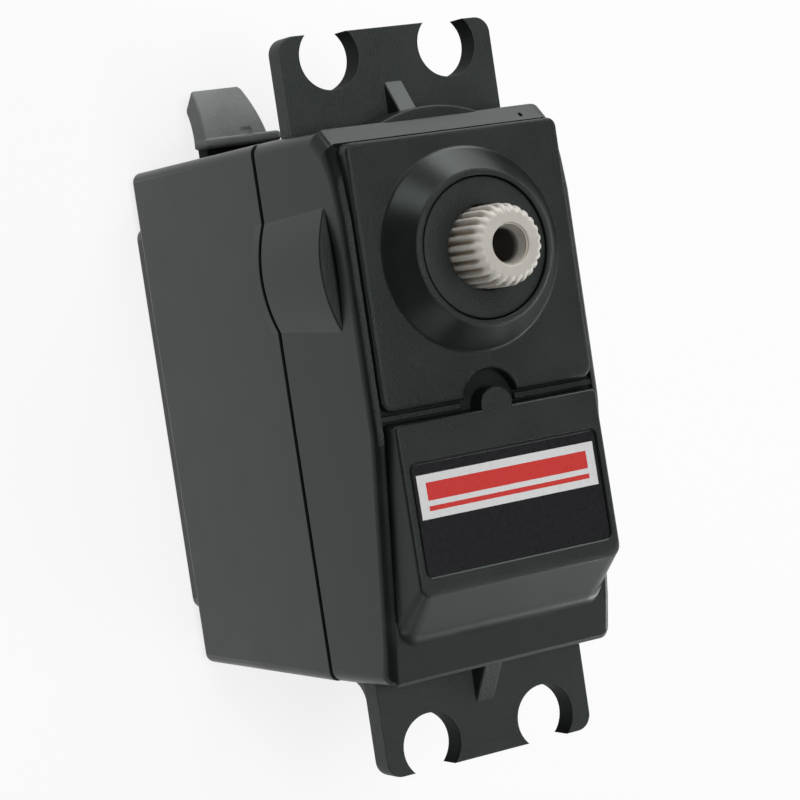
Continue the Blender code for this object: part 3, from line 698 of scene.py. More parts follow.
def front_panel():
    """Raised panel with an arched notch in its lower edge."""
    low, high = PANEL_X
    notch_centre = NOTCH_TOP_X - NOTCH_R
    open_at = math.degrees(math.asin((low - notch_centre) / NOTCH_R))
    notch = [(notch_centre + y, x) for x, y in arc(0, 0, NOTCH_R, open_at, 180 - open_at, steps=24)]
    low_x, low_y = low + PANEL_LOW_R, PANEL_HALF_W - PANEL_LOW_R
    high_x, high_y = high - PANEL_HIGH_R, PANEL_HALF_W - PANEL_HIGH_R
    outline = arc(high_x, high_y, PANEL_HIGH_R, 0, 90, steps=6)
    outline += arc(low_x, low_y, PANEL_LOW_R, 90, 180, steps=6)
    outline += notch
    outline += arc(low_x, -low_y, PANEL_LOW_R, 180, 270, steps=6)
    outline += arc(high_x, -high_y, PANEL_HIGH_R, 270, 360, steps=6)
    rings = [lift(outline, PANEL_ROOT_Z)]
    for step, drop in eased(PANEL_EDGE_R, steps=5):
        rings.append(lift(inset(outline, PANEL_EDGE_STRETCH * step), PANEL_Z - drop))
    return loft(rings)


def front_land(side):
    """Low ridge in the channel between the panel and the label block, on one side of the key."""
    return box(LAND_X, on_side(side, NOTCH_R, LAND_END_Y), LAND_Z, LAND_EDGE_R)


def block_ring(x_top, x_low, half, corner, z_top, z_low):
    """One section of the label block, flat but tilted, with its own radius on the two lower corners."""
    corners = [
        (x_top, half, BLOCK_UPPER_R),
        (x_low, half, corner),
        (x_low, -half, corner),
        (x_top, -half, BLOCK_UPPER_R),
    ]
    rise = (z_top - z_low) / (x_top - x_low)
    return [(x, y, z_low + (x - x_low) * rise) for x, y in filleted(corners, steps=6)]


def label_block():
    """Drafted block with a soft foot and rounded lower edges, which carries the label."""
    rings = [block_ring(BLOCK_UPPER_X, *section) for section in BLOCK_SECTIONS]
    draw_top, draw_low, draw_side = BROW_DRAW
    for step, drop in eased(1.0, steps=5):
        x_top, x_low = BLOCK_TOP_X - draw_top * step, BROW_X + draw_low * step
        heights = [block_face_z(x) - BROW_HEIGHT * drop for x in (x_top, x_low)]
        rings.append(block_ring(x_top, x_low, BROW_HALF_W - draw_side * step, BROW_CORNER_R, *heights))
    return loft(rings)


def label_outline(grow):
    centre, reach = sum(LABEL_X) / 2, (LABEL_X[0] - LABEL_X[1]) / 2
    corners = round_rect(reach + grow, LABEL_HALF_W + grow, LABEL_CORNER_R + grow)
    return [(centre + x, y) for x, y in corners]


def label_shape(sections):
    """A plate in the label's outline, laid along the label block's tilted face."""
    rings = []
    for grow, offset in sections:
        rings.append([(x, y, block_face_z(x) + offset) for x, y in label_outline(grow)])
    return loft(rings)


def tab_outline(side):
    """One mounting tab, with two round slots that open through its end."""
    end = TAB_L / 2
    half = TAB_HALF_W
    opening = math.degrees(math.acos((end - SLOT_X) / SLOT_R))
    corner_x, corner_y = end - TAB_CORNER_R, half - TAB_CORNER_R
    points = [(TAB_ROOT_X, -half)] + arc(corner_x, -corner_y, TAB_CORNER_R, -90, 0, steps=8)
    for y in (-SLOT_Y, SLOT_Y):
        points += arc(SLOT_X, y, SLOT_R, -opening, opening - 360, steps=40)
    points += arc(corner_x, corner_y, TAB_CORNER_R, 0, 90, steps=8) + [(TAB_ROOT_X, half)]
    return [(side * x, y) for x, y in points]


def gusset(side):
    """Rib between the end wall and the front of one tab."""
    outline = [
        (TAB_ROOT_X, RIB_ROOT_Z),
        (GUSSET_REACH, RIB_ROOT_Z),
        (GUSSET_REACH, TAB_Z[1]),
        (HALF_L, GUSSET_TOP),
        (TAB_ROOT_X, GUSSET_TOP),
    ]
    return side_prism([(side * x, z) for x, z in outline], -GUSSET_HALF_W, GUSSET_HALF_W, RIB_EDGE_R)


def tab_web():
    """Web under the lower tab, where it leaves the end wall."""
    end_x = -HALF_L - WEB_R
    outline = arc(end_x, TAB_Z[0] - WEB_R, WEB_R, 0, 90, steps=10)
    outline += [(end_x, RIB_ROOT_Z), (-TAB_ROOT_X, RIB_ROOT_Z), (-TAB_ROOT_X, outline[0][1])]
    return side_prism(outline, -WEB_HALF_W, WEB_HALF_W, RIB_EDGE_R)


def front_cavity():
    low = SEAM[0] - CLEAR
    return side_prism([(-INNER_X, low), (INNER_X, low), *ROOF_CORNERS], -INNER_Y, INNER_Y)


def side_dip(side):
    """Shallow lens-shaped dip in the side wall, beyond the end of the swelling."""
    radius = (DIP_HALF_L**2 + DIP_RISE**2) / (2 * DIP_RISE)
    sweep = math.degrees(math.asin(DIP_HALF_L / radius))
    outline = arc(OUTPUT_X, BULGE_Z[1] + DIP_RISE - radius, radius, 90 - sweep, 90 + sweep, steps=20)
    outline += [(OUTPUT_X - DIP_HALF_L, DIP_LOW_Z), (OUTPUT_X + DIP_HALF_L, DIP_LOW_Z)]
    return side_prism(outline, *on_side(side, *DIP_Y))


def front_relief(case):
    """The shapes on the front: channel, groove, pin mark, panel, ridges, label block, key and cone."""
    cut(case, front_channel(), box(GROOVE_X, GROOVE_Y, GROOVE_Z))
    cut(case, rod(PIN_MARK_R, PIN_MARK_Z, SMALL, *PIN_MARK_AT))
    add(case, front_panel(), front_land(-1), front_land(1), label_block())
    add(case, prism(circle(KEY_R, ROUND, KEY_X), KEY_ROOT_Z, BLOCK_Z[0], 0.0, KEY_EDGE_R))
    add(case, turned(CONE_STEPS, LARGE, OUTPUT_X))


def front_walls(case):
    """The shapes on the walls: tabs with their gussets and web, dips and swelling."""
    for side in (-1, 1):
        add(case, prism(tab_outline(side), *TAB_Z, TAB_EDGE_R, TAB_EDGE_R), gusset(side))
        cut(case, side_dip(side))
    add(case, tab_web())
    swell = [(BULGE_R - BULGE_LIP, SEAM[1]), (BULGE_R, SEAM[1] + BULGE_LIP)]
    swell += [(BULGE_R - step, BULGE_Z[1] - drop) for step, drop in eased(BULGE_EDGE_R)]
    swell.append((BULGE_FACE_R, BULGE_Z[1]))
    add(case, turned(swell, LARGE, OUTPUT_X))


def front_inside(case):
    """The hollow with its screw columns and axle boss, the gear pocket and the holes."""
    cut(case, front_cavity())
    add(case, *[rod(FRONT_BOSS_R, FRONT_BOSS_Z, SMALL, x, y) for x, y in SCREWS])
    add(case, rod(AXLE_BOSS_R, AXLE_BOSS_Z, SMALL, IDLER_X))
    cut(case, rod(POCKET_R, (SEAM[0] - CLEAR, POCKET_TOP_Z), LARGE, OUTPUT_X))
    cut(case, turned(MOUTH_STEPS, LARGE, OUTPUT_X))
    cut(case, rod(AXLE_HOLE_R, AXLE_HOLE_Z, SMALL, IDLER_X))
    cut(case, *[rod(THREAD_R, THREAD_Z, SMALL, x, y) for x, y in SCREWS])


def front_finish(centre, normal):
    """Matt slots, grained tabs made lighter as painted light, lower gusset and faces to the front, and smooth
    walls.
    """
    x, y, z = centre
    if math.hypot(abs(x) - SLOT_X, abs(y) - SLOT_Y) < SLOT_R + NEAR_SLOT:
        return MATT
    if abs(x) > HALF_L + NEAR and TAB_Z[0] - NEAR < z < TAB_Z[1] + NEAR:
        return TAB_GRAINED_PAINTED_LIGHT
    lower_gusset = x < -HALF_L - NEAR and z > TAB_Z[1] and abs(y) < GUSSET_HALF_W + NEAR
    at_front = z > CHANNEL_Z + NEAR or abs(z - BULGE_Z[1]) < NEAR
    if lower_gusset or at_front and normal.z > FACING_FRONT:
        return GRAINED
    return SMOOTH


def front_case(smooth, grained, matt_and_painted_shade, tab_grain_painted_light):
    case = make("front_case_shell", front_body())
    front_relief(case)
    front_walls(case)
    front_inside(case)
    cut(case, label_shape(RECESS_SECTIONS))
    materials = [smooth, grained, matt_and_painted_shade, tab_grain_painted_light]
    return dress(case, "case", ["front_case"], materials, front_finish)


# Rear case, label and screws

def rear_body():
    """The rear case without its features, rounded at the rear and eased at the seam."""
    edge = [(step + REAR_DRAFT, PAD_H + drop) for step, drop in reversed(eased(REAR_EDGE_R, steps=5))]
    edge += [(0.0, SEAM[0] - LIP_R), (LIP_R, SEAM[0])]
    return loft([lift(round_rect(HALF_L - step, HALF_W - step, EDGE_R), z) for step, z in edge])


def rear_case(smooth):
    top, above = SEAM[0], SEAM[0] + CLEAR
    case = make("rear_case_shell", rear_body())
    add(case, prism(round_rect(*PAD_HALF, PAD_CORNER_R), 0.0, PAD_TOP_Z, PAD_EDGE_R))
    swell = [*BULGE_FOOT, (BULGE_R, top - BULGE_LIP), (BULGE_R - BULGE_LIP, top)]
    add(case, turned(swell, LARGE, OUTPUT_X))
    cut(case, prism(round_rect(INNER_X, INNER_Y, EDGE_R), FLOOR_Z, above))
    add(case, *[rod(REAR_BOSS_R, REAR_BOSS_Z, SMALL, x, y) for x, y in SCREWS])
    add(case, *[box(LEDGE_X, on_side(side, *LEDGE_Y), LEDGE_Z) for side in (-1, 1)])
    cut(case, rod(POCKET_R, (PLATE_TOP_Z, above), LARGE, OUTPUT_X))
    cut(case, *[turned(SCREW_HOLE_STEPS, SMALL, x, y) for x, y in SCREWS])
    half_y, half_z = BOOT_WINDOW
    window_y, window_z = (BOOT_Y - half_y, BOOT_Y + half_y), (BOOT_Z - half_z, BOOT_Z + half_z)
    cut(case, box((INNER_X - CLEAR, HALF_L + CLEAR), window_y, window_z))
    return dress(case, "case", ["rear_case"], [smooth])


def label(print_finish):
    plate = make("label_plate", label_shape(LABEL_SECTIONS))
    return dress(plate, "case", ["label"], [print_finish])


def case_screws(steel):
    """Four screws with rounded heads at the rear and a cross recess in each."""
    under = HEAD_Z + HEAD_H
    steps = [(HEAD_R - step, HEAD_Z + drop) for step, drop in reversed(eased(HEAD_EDGE_R))]
    steps += [(HEAD_R, under), (SCREW_R, under)]
    steps += [(SCREW_R, SCREW_END_Z - SCREW_TIP_L), (SCREW_TIP_R, SCREW_END_Z)]
    for number, (x, y) in enumerate(SCREWS, start=1):
        screw = make(f"case_screw_{number}_fine", turned(steps, SMALL, x, y))
        for half_x, half_y in (CROSS_HALF, CROSS_HALF[::-1]):
            outline = [(x + dx, y + dy) for dx, dy in round_rect(half_x, half_y, CROSS_CORNER_R, steps=3)]
            cut(screw, prism(outline, HEAD_Z - CLEAR, HEAD_Z + CROSS_DEPTH))
        dress(screw, "case", [f"case_screw_{number}"], [steel])


# Strain relief boot

def boot_path(steps=16):
    """Centre line of the boot in XZ, bending to the rear."""
    (x0, z0), (x1, z1), (x2, z2) = BOOT_BEND
    path = []
    for i in range(steps + 1):
        t = i / steps
        x = (1 - t) ** 2 * x0 + 2 * t * (1 - t) * x1 + t**2 * x2
        z = (1 - t) ** 2 * z0 + 2 * t * (1 - t) * z1 + t**2 * z2
        slope = math.atan2((1 - t) * (z1 - z0) + t * (z2 - z1), (1 - t) * (x1 - x0) + t * (x2 - x1))
        path.append((x, z, slope))
    return path


def boot_ring(x, z, slope, half_y, half_t, shift=0.0, radius=BOOT_CORNER_R):
    """Rounded cross-section, square to the centre line."""
    ring = []
    for across, along in round_rect(half_y, half_t, radius, steps=5):
        y = BOOT_Y + shift + across
        ring.append((x - along * math.sin(slope), y, z + along * math.cos(slope)))
    return ring


def boot_body(path):
    """Flange inside the wall, neck through it and tapering boot along the bend."""
    rings = [boot_ring(x, BOOT_Z, 0.0, half_y, half_t) for x, half_y, half_t in BOOT_STATIONS]
    last = len(path) - 1
    for number, (x, z, slope) in enumerate(path):
        share = number / last
        ease = BOOT_TIP_EASE if number == last else 0.0
        half_y, half_t = [half - taper * share - ease for half, taper in zip(BOOT_HALF, BOOT_TAPER)]
        rings.append(boot_ring(x, z, slope, half_y, half_t))
    return loft(rings)


def boot_bead():
    """Bead across the front of the boot and round its -Y end, nearly level with the boot at +Y."""
    half_y, half_t = BEAD_HALF
    shift_y, shift_z = BEAD_SHIFT
    z = BOOT_Z + shift_z
    rings = []
    for x, step in BEAD_EDGE:
        rings.append(boot_ring(x, z, 0.0, half_y - step, half_t - step, shift_y, BEAD_CORNER_R))
    return loft(rings)


def boot_bore(path):
    """Flat bore that follows the boot from inside the case to beyond its tip."""
    rings = [boot_ring(x, BOOT_Z, 0.0, *BOOT_BORE) for x in BOOT_BORE_X]
    rings += [boot_ring(x, z, slope, *BOOT_BORE) for x, z, slope in path]
    x, z, slope = path[-1]
    rings.append(boot_ring(x + CLEAR * math.cos(slope), z + CLEAR * math.sin(slope), slope, *BOOT_BORE))
    return loft(rings)


def boot_rubber_and_painted_shade(centre, _normal):
    """Rubber outside; the neck under the bead and the inside get black plastic, as painted shade in the gap
    under the bead.
    """
    return 1 if centre.x < BOOT_PAINTED_SHADE_X else 0


def strain_relief(rubber, matt_and_painted_shade):
    path = boot_path()
    boot = make("strain_relief_boot", boot_body(path))
    add(boot, boot_bead())
    cut(boot, boot_bore(path))
    cut(boot, turned(DENT_STEPS, SMALL, *DENT_AT))
    # The second material paints the neck black, as painted shade under the bead
    return dress(boot, "case", ["strain_relief"], [rubber, matt_and_painted_shade], boot_rubber_and_painted_shade)


# Output

def output_bushing(grained):
    low, top = BUSHING_Z
    profile = [(BUSHING_R, low)]
    profile += [(BUSHING_R - draw, top - drop) for draw, drop in BUSHING_EDGE]
    profile += [(BUSHING_BORE_R + draw, top - drop) for draw, drop in BUSHING_MOUTH]
    profile.append((BUSHING_BORE_R, low))
    ring = make("output_bushing_ring", turned_ring(profile, LARGE, OUTPUT_X))
    return dress(ring, "case", ["output_bushing"], [grained])


def involute(angle):
    return math.tan(angle) - angle


def wheel_outline():
    """Involute teeth of the wheel inside, with a tooth gap facing the idler axle."""
    pressure = math.radians(WHEEL_PRESSURE)
    pitch_r = WHEEL_TEETH * WHEEL_MODULE / 2
    base_r = pitch_r * math.cos(pressure)
    half_at_pitch = math.pi / (2 * WHEEL_TEETH) - WHEEL_BACKLASH / (2 * pitch_r)
    flank = []
    for radius in (pitch_r - WHEEL_MODULE, pitch_r + WHEEL_TIP):
        at_radius = math.acos(min(1.0, base_r / radius))
        flank.append((radius, half_at_pitch + involute(pressure) - involute(at_radius)))
    points = []
    for tooth in range(WHEEL_TEETH):
        middle = math.pi + math.pi * (2 * tooth + 1) / WHEEL_TEETH
        polar = [(r, middle - a) for r, a in flank] + [(r, middle + a) for r, a in reversed(flank)]
        points += [(OUTPUT_X + r * math.cos(a), r * math.sin(a)) for r, a in polar]
    return points


def spline_outline(crest):
    """Rounded teeth of the output spline with a given crest radius, shallower where the crest draws in."""
    root = min(SPLINE_ROOT_R, crest - SPLINE_LEAST_DEPTH)
    points = []
    for tooth in range(SPLINE_TEETH):
        for share in SPLINE_SHARES:
            rise = min(1.0, max(0.0, (FLANK_END - abs(share)) / FLANK_WIDTH))
            radius = root + (crest - root) * rise * rise * (3 - 2 * rise)
            angle = 2 * math.pi * (tooth + share) / SPLINE_TEETH
            points.append((OUTPUT_X + radius * math.cos(angle), radius * math.sin(angle)))
    return points


def output_gear(nylon):
    """Wheel, hub and spline in one, with a bore from the tip and a flatted socket from below."""
    gear = make("output_gear_fine", prism(wheel_outline(), *WHEEL_Z))
    low, high = HUB_Z
    hub = [(HUB_R, low), (HUB_R, high), (JOURNAL_R, high), (JOURNAL_R, JOURNAL_TOP_Z)]
    add(gear, turned(hub, ROUND, OUTPUT_X))
    crests = [(SPLINE_R, SPLINE_LOW_Z)] + [(crest, SPLINE_TIP_Z - depth) for crest, depth in SPLINE_END]
    add(gear, loft([lift(spline_outline(crest), z) for crest, z in crests]))
    bore = [(BORE_R, BORE_LOW_Z)] + [(radius, SPLINE_TIP_Z - depth) for radius, depth in BORE_END]
    socket = [(OUTPUT_X + min(x, SOCKET_FLAT), y) for x, y in circle(SOCKET_R, ROUND)]
    cut(gear, turned(bore, ROUND, OUTPUT_X), prism(socket, *SOCKET_Z))
    return dress(gear, "output", ["output_gear"], [nylon])


# Materials

def material(name, colour, roughness, metallic=0.0, specular=0.5):
    """A new material and its shader, with plain values on the shader's own sockets."""
    made = bpy.data.materials.new(name)
    made.use_nodes = True
    shader = made.node_tree.nodes["Principled BSDF"]
    shader.inputs["Base Color"].default_value = (*colour, 1.0)
    shader.inputs["Roughness"].default_value = roughness
    shader.inputs["Metallic"].default_value = metallic
    shader.inputs["Specular IOR Level"].default_value = specular
    return made, made.node_tree, shader


def object_place(tree):
    return tree.nodes.new("ShaderNodeTexCoord").outputs["Object"]


def coordinates(tree, place):
    """The X, Y and Z sockets of a place."""
    made = tree.nodes.new("ShaderNodeSeparateXYZ")
    tree.links.new(place, made.inputs[0])
    return [made.outputs[axis] for axis in "XYZ"]


def noise(tree, place, size, detail=2.0):
    """Noise with features of about the given size in millimetres."""
    made = tree.nodes.new("ShaderNodeTexNoise")
    made.inputs["Scale"].default_value = 1 / (size * MM)
    made.inputs["Detail"].default_value = detail
    tree.links.new(place, made.inputs["Vector"])
    return made.outputs["Fac"]


def spread(tree, value, low, high, to_low, to_high):
    """Map a value's range onto another."""
    made = tree.nodes.new("ShaderNodeMapRange")
    for socket, number in (("From Min", low), ("From Max", high), ("To Min", to_low), ("To Max", to_high)):
        made.inputs[socket].default_value = number
    tree.links.new(value, made.inputs["Value"])
    return made.outputs["Result"]


def fade(tree, value, low, high, start=1.0):
    """A share that falls from its start to 0 between two limits in millimetres."""
    return spread(tree, value, low * MM, high * MM, start, 0.0)


def mix(tree, factor, first, second):
    """Blend two colours; either may be a plain colour or a socket."""
    made = tree.nodes.new("ShaderNodeMix")
    made.data_type = "RGBA"
    tree.links.new(factor, made.inputs["Factor"])
    # Inputs 6 and 7 and output 2 are the node's colour sockets
    for socket, colour in ((made.inputs[6], first), (made.inputs[7], second)):
        if isinstance(colour, tuple):
            socket.default_value = (*colour, 1.0)
        else:
            tree.links.new(colour, socket)
    return made.outputs[2]


def math_node(tree, operation, first, second, third=0.0):
    made = tree.nodes.new("ShaderNodeMath")
    made.operation = operation
    for socket, value in zip(made.inputs, (first, second, third)):
        if isinstance(value, (int, float)):
            socket.default_value = value
        else:
            tree.links.new(value, socket)
    return made.outputs["Value"]


def plus(tree, first, second):
    return math_node(tree, "ADD", first, second)


def times(tree, first, second):
    return math_node(tree, "MULTIPLY", first, second)


def band(tree, value, low, high):
    """1 between two limits in millimetres, else 0."""
    return math_node(tree, "COMPARE", value, (low + high) / 2 * MM, abs(high - low) / 2 * MM)


def vector_math(tree, operation, vector, other=None):
    made = tree.nodes.new("ShaderNodeVectorMath")
    made.operation = operation
    tree.links.new(vector, made.inputs[0])
    if other:
        made.inputs[1].default_value = other
    return made.outputs["Value" if operation == "LENGTH" else "Vector"]


def axis_radius(tree, place, x):
    """Distance of a place from the upright axis at x."""
    from_axis = vector_math(tree, "SUBTRACT", place, (x * MM, 0.0, 0.0))
    return vector_math(tree, "LENGTH", vector_math(tree, "MULTIPLY", from_axis, (1.0, 1.0, 0.0)))


def bump(tree, shader, layers):
    """Raise the surface by noise layers of (height socket, depth in millimetres)."""
    normal = None
    for height, depth in layers:
        made = tree.nodes.new("ShaderNodeBump")
        made.inputs["Distance"].default_value = depth * MM
        tree.links.new(height, made.inputs["Height"])
        if normal:
            tree.links.new(normal, made.inputs["Normal"])
        normal = made.outputs["Normal"]
    tree.links.new(normal, shader.inputs["Normal"])


def moulded(name, dark, light, roughness, grain, depth, specular=0.4, tint=UNTINTED):
    """Moulded plastic or rubber: patchy colour and gloss over a fine grain."""
    made, tree, shader = material(name, dark, roughness[0], 0.0, specular)
    shader.inputs["Specular Tint"].default_value = (*tint, 1.0)
    place = object_place(tree)
    patches = noise(tree, place, PATCH_SIZE, detail=4.0)
    specks = noise(tree, place, grain, detail=3.0)
    colour = mix(tree, spread(tree, patches, *NOISE_MIDDLE, 0, 1), dark, light)
    tree.links.new(colour, shader.inputs["Base Color"])
    tree.links.new(spread(tree, patches, *NOISE_RANGE, *roughness), shader.inputs["Roughness"])
    bump(tree, shader, [(specks, depth), (noise(tree, place, grain * 4), depth * 0.5)])
    return made


def metal(name, dark, light, roughness, line):
    """Drawn metal: fine lines along one way and slight tarnish."""
    made, tree, shader = material(name, dark, roughness[0], 1.0)
    place = object_place(tree)
    stretch = tree.nodes.new("ShaderNodeMapping")
    stretch.inputs["Scale"].default_value = LINE_STRETCH
    tree.links.new(place, stretch.inputs["Vector"])
    lines = noise(tree, stretch.outputs["Vector"], line, detail=3.0)
    tarnish = noise(tree, place, TARNISH_SIZE, detail=4.0)
    colour = mix(tree, spread(tree, tarnish, *NOISE_MIDDLE, 0, 1), dark, light)
    tree.links.new(colour, shader.inputs["Base Color"])
    tree.links.new(spread(tree, lines, *NOISE_RANGE, *roughness), shader.inputs["Roughness"])
    bump(tree, shader, [(lines, LINE_DEPTH)])
    return made


def spline_nylon():
    """Grey-beige nylon, browner in the spline's roots and round the bore's mouth, and darkened far down the
    bore as painted shade.
    """
    made, tree, shader = material("output nylon", NYLON[0], 0.45, 0.0, 0.45)
    place = object_place(tree)
    radius = axis_radius(tree, place, OUTPUT_X)
    height = coordinates(tree, place)[2]
    teeth = times(tree, fade(tree, radius, *TEETH_FADE_R, TEETH_STAIN), band(tree, radius, *TEETH_RING))
    teeth = times(tree, teeth, fade(tree, height, *TEETH_FADE_Z))
    mouth = times(tree, band(tree, radius, *MOUTH_RING), fade(tree, height, *MOUTH_FADE_Z, MOUTH_STAIN))
    # Painted shade: the nylon turns dark far down the bore, where little light reaches
    bore_painted_shade = times(tree, band(tree, radius, *BORE_SHADE_RING), fade(tree, height, *BORE_SHADE_FADE_Z))
    patches = noise(tree, place, 1.2, detail=3.0)
    stained = mix(tree, plus(tree, teeth, mouth), mix(tree, patches, *NYLON), NYLON_STAIN)
    tree.links.new(mix(tree, bore_painted_shade, stained, NYLON_PAINTED_SHADE), shader.inputs["Base Color"])
    tree.links.new(spread(tree, patches, *NOISE_RANGE, 0.38, 0.55), shader.inputs["Roughness"])
    bump(tree, shader, [(noise(tree, place, 0.15, detail=3.0), 0.012)])
    return made


def label_print():
    """Glossy black sticker with a plain pale band and two plain red stripes."""
    made, tree, shader = material("label print", PRINT_BLACK[0], 0.2, 0.0, 0.3)
    place = object_place(tree)
    x, y, _ = coordinates(tree, place)
    pale = times(tree, band(tree, x, *PALE_BAND_X), band(tree, y, -PRINT_HALF_W, PRINT_HALF_W))
    stripes = plus(tree, *[band(tree, x, *stripe) for stripe in STRIPES_X])
    red = times(tree, stripes, band(tree, y, -STRIPE_HALF_W, STRIPE_HALF_W))
    fibre = noise(tree, place, 0.4, detail=4.0)
    paper = mix(tree, pale, mix(tree, fibre, *PRINT_BLACK), mix(tree, fibre, *PRINT_WHITE))
    tree.links.new(mix(tree, red, paper, PRINT_RED), shader.inputs["Base Color"])
    tree.links.new(spread(tree, fibre, *NOISE_RANGE, 0.26, 0.32), shader.inputs["Roughness"])
    bump(tree, shader, [(fibre, 0.0006), (noise(tree, place, 2.5), 0.012)])
    return made


def give(material_made, *names):
    """Put a material on CAD nodes that are shown as they are."""
    for name in names:
        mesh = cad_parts[name].data
        mesh.materials.clear()
        mesh.materials.append(material_made)


def inside_plastics(inner):
    """Materials of the pieces inside that aren't metal."""
    white = moulded("white nylon", (0.66, 0.65, 0.6), (0.76, 0.75, 0.71), (0.4, 0.55), 0.3, 0.01)
    magnet = moulded("magnet", (0.045, 0.045, 0.05), (0.065, 0.065, 0.07), (0.5, 0.7), 0.2, 0.02)
    carbon = moulded("carbon", (0.03, 0.03, 0.03), (0.05, 0.05, 0.05), (0.6, 0.8), 0.15, 0.02)
    board = moulded("circuit board", (0.02, 0.14, 0.05), (0.03, 0.2, 0.08), (0.3, 0.45), 0.5, 0.02)
    track = moulded("track board", (0.28, 0.15, 0.07), (0.37, 0.21, 0.11), (0.4, 0.6), 0.4, 0.02)
    sleeve = moulded("capacitor sleeve", (0.03, 0.05, 0.2), (0.06, 0.09, 0.28), (0.3, 0.4), 0.8, 0.01)
    give(inner, "gear_plate", "pot_housing", "control_chip", "driver_chip_1", "driver_chip_2")
    give(white, "idler_gear_1", "idler_gear_2", "idler_gear_3", "motor_end_cap", "pot_shaft")
    give(magnet, "motor_magnet_1", "motor_magnet_2")
    give(carbon, "motor_brush_1", "motor_brush_2")
    give(board, "control_board")
    give(track, "pot_track")
    give(sleeve, "capacitor")


def inside_metals(steel):
    """Materials of the metal pieces inside."""
    brass = metal("brass", (0.62, 0.44, 0.18), (0.74, 0.56, 0.27), (0.28, 0.45), 0.2)
    copper = metal("copper wire", (0.6, 0.25, 0.12), (0.74, 0.36, 0.2), (0.28, 0.42), 0.3)
    bronze = metal("bronze", (0.42, 0.29, 0.15), (0.54, 0.39, 0.22), (0.4, 0.55), 0.15)
    laminations = metal("laminations", (0.22, 0.22, 0.24), (0.34, 0.34, 0.35), (0.4, 0.6), 0.35)
    give(steel, "idler_axle", "motor_can", "rotor_shaft")
    give(brass, "motor_pinion", "commutator", "motor_terminal_1", "motor_terminal_2")
    give(brass, "pot_terminal_1", "pot_terminal_2", "pot_terminal_3")
    give(copper, "rotor_coil_1", "rotor_coil_2", "rotor_coil_3")
    give(bronze, "motor_front_bush", "motor_rear_bush")
    give(laminations, "rotor_core")


# Stage

def aim(obj, at, target):
    """Place an object, in millimetres, so that it looks at a target."""
    start, end = Vector(at) * MM, Vector(target) * MM
    obj.location = start
    obj.rotation_euler = (end - start).to_track_quat("-Z", "Y").to_euler()


def softbox(name, at, size, power):
    lamp = bpy.data.lights.new(name, "AREA")
    lamp.shape = "RECTANGLE"
    lamp.size, lamp.size_y = size[0] * MM, size[1] * MM
    lamp.energy = power
    obj = bpy.data.objects.new(name, lamp)
    bpy.context.scene.collection.objects.link(obj)
    aim(obj, at, LIGHT_TARGET)


def floor_paper():
    """Pale paper that shows as white to the camera and in reflections, under a soft shadow."""
    made, tree, shader = material("floor paper", FLOOR_WHITE, 0.8, 0.0, 0.2)
    grain = noise(tree, object_place(tree), FLOOR_GRAIN, detail=3.0)
    tree.links.new(spread(tree, grain, *NOISE_RANGE, 0.75, 0.9), shader.inputs["Roughness"])
    glow = tree.nodes.new("ShaderNodeEmission")
    path = tree.nodes.new("ShaderNodeLightPath")
    seen = plus(tree, path.outputs["Is Camera Ray"], path.outputs["Is Glossy Ray"])
    seen = plus(tree, seen, path.outputs["Is Transmission Ray"])
    blend = tree.nodes.new("ShaderNodeMixShader")
    tree.links.new(times(tree, seen, FLOOR_GLOW), blend.inputs["Fac"])
    tree.links.new(shader.outputs["BSDF"], blend.inputs[1])
    tree.links.new(glow.outputs["Emission"], blend.inputs[2])
    tree.links.new(blend.outputs["Shader"], tree.nodes["Material Output"].inputs["Surface"])
    return made


def floor():
    half = FLOOR_HALF
    corners = [(-half, -half, 0), (half, -half, 0), (half, half, 0), (-half, half, 0)]
    obj = make("floor", (corners, [(0, 1, 2, 3)]))
    obj.data.materials.append(floor_paper())


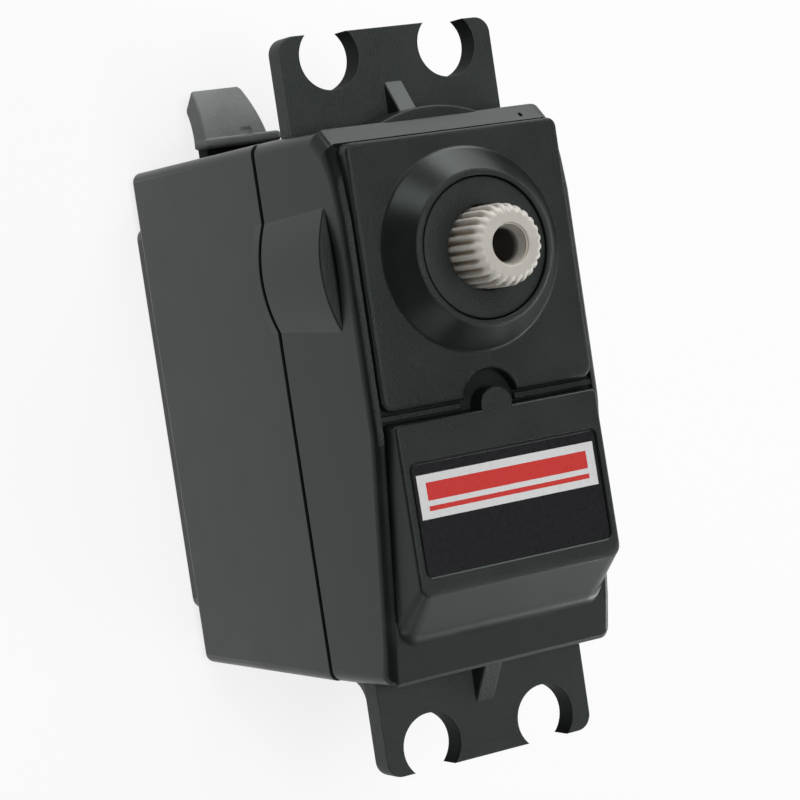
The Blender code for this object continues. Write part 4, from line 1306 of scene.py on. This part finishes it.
def studio():
    world = bpy.data.worlds.new("studio")
    world.use_nodes = True
    background = world.node_tree.nodes["Background"]
    background.inputs["Color"].default_value = (1.0, 1.0, 1.0, 1.0)
    background.inputs["Strength"].default_value = WORLD_LEVEL
    bpy.context.scene.world = world
    for name, at, size, power in SOFT_BOXES:
        softbox(name, at, size, power)
    floor()


def camera():
    right = Vector(CAMERA_RIGHT).normalized()
    back = -Vector(CAMERA_FORWARD).normalized()
    up = back.cross(right).normalized()
    right = up.cross(back)
    lens = bpy.data.cameras.new("camera")
    lens.lens = LENS
    lens.sensor_width = SENSOR
    lens.clip_start = CLIP_START * MM
    obj = bpy.data.objects.new("camera", lens)
    place = Matrix((right, up, back)).transposed().to_4x4()
    place.translation = Vector(CAMERA_AT) * MM
    obj.matrix_world = place
    bpy.context.scene.collection.objects.link(obj)
    bpy.context.scene.camera = obj
    bpy.context.scene.view_settings.view_transform = "Standard"


def main():
    smooth = moulded("satin black plastic", *BLACK, (0.28, 0.36),
                     grain=0.12, depth=0.004, specular=0.25, tint=COOL)
    grained = moulded("grained black plastic", *GRAINED_BLACK, (0.5, 0.6),
                      grain=0.13, depth=0.045, specular=0.3, tint=COOL)
    # Lighter copy of the grained plastic for the tabs: painted light
    tab_grain_painted_light = moulded("tab plastic painted lighter", *TAB_BLACK_PAINTED_LIGHT, (0.5, 0.6),
                        grain=0.13, depth=0.045, specular=0.33, tint=COOL)
    # Black plastic for the slot walls, also painted on the boot's neck as shade under the bead
    matt_and_painted_shade = moulded("matt black plastic", *BLACK, (0.6, 0.7),
                   grain=0.13, depth=0.02, specular=0.08, tint=COOL)
    rubber = moulded("black rubber", *RUBBER, (0.7, 0.8), grain=0.12, depth=0.04, specular=0.12)
    steel = metal("steel", *STEEL, (0.25, 0.42), line=0.2)
    inner = moulded("dark plastic", *INNER_BLACK, (0.4, 0.5), grain=0.2, depth=0.015)
    front_case(smooth, grained, matt_and_painted_shade, tab_grain_painted_light)
    rear_case(smooth)
    label(label_print())
    case_screws(steel)
    strain_relief(rubber, matt_and_painted_shade)
    output_bushing(grained)
    output_gear(spline_nylon())
    inside_plastics(inner)
    inside_metals(steel)
    studio()
    camera()


main()
bpy.context.view_layer.update()
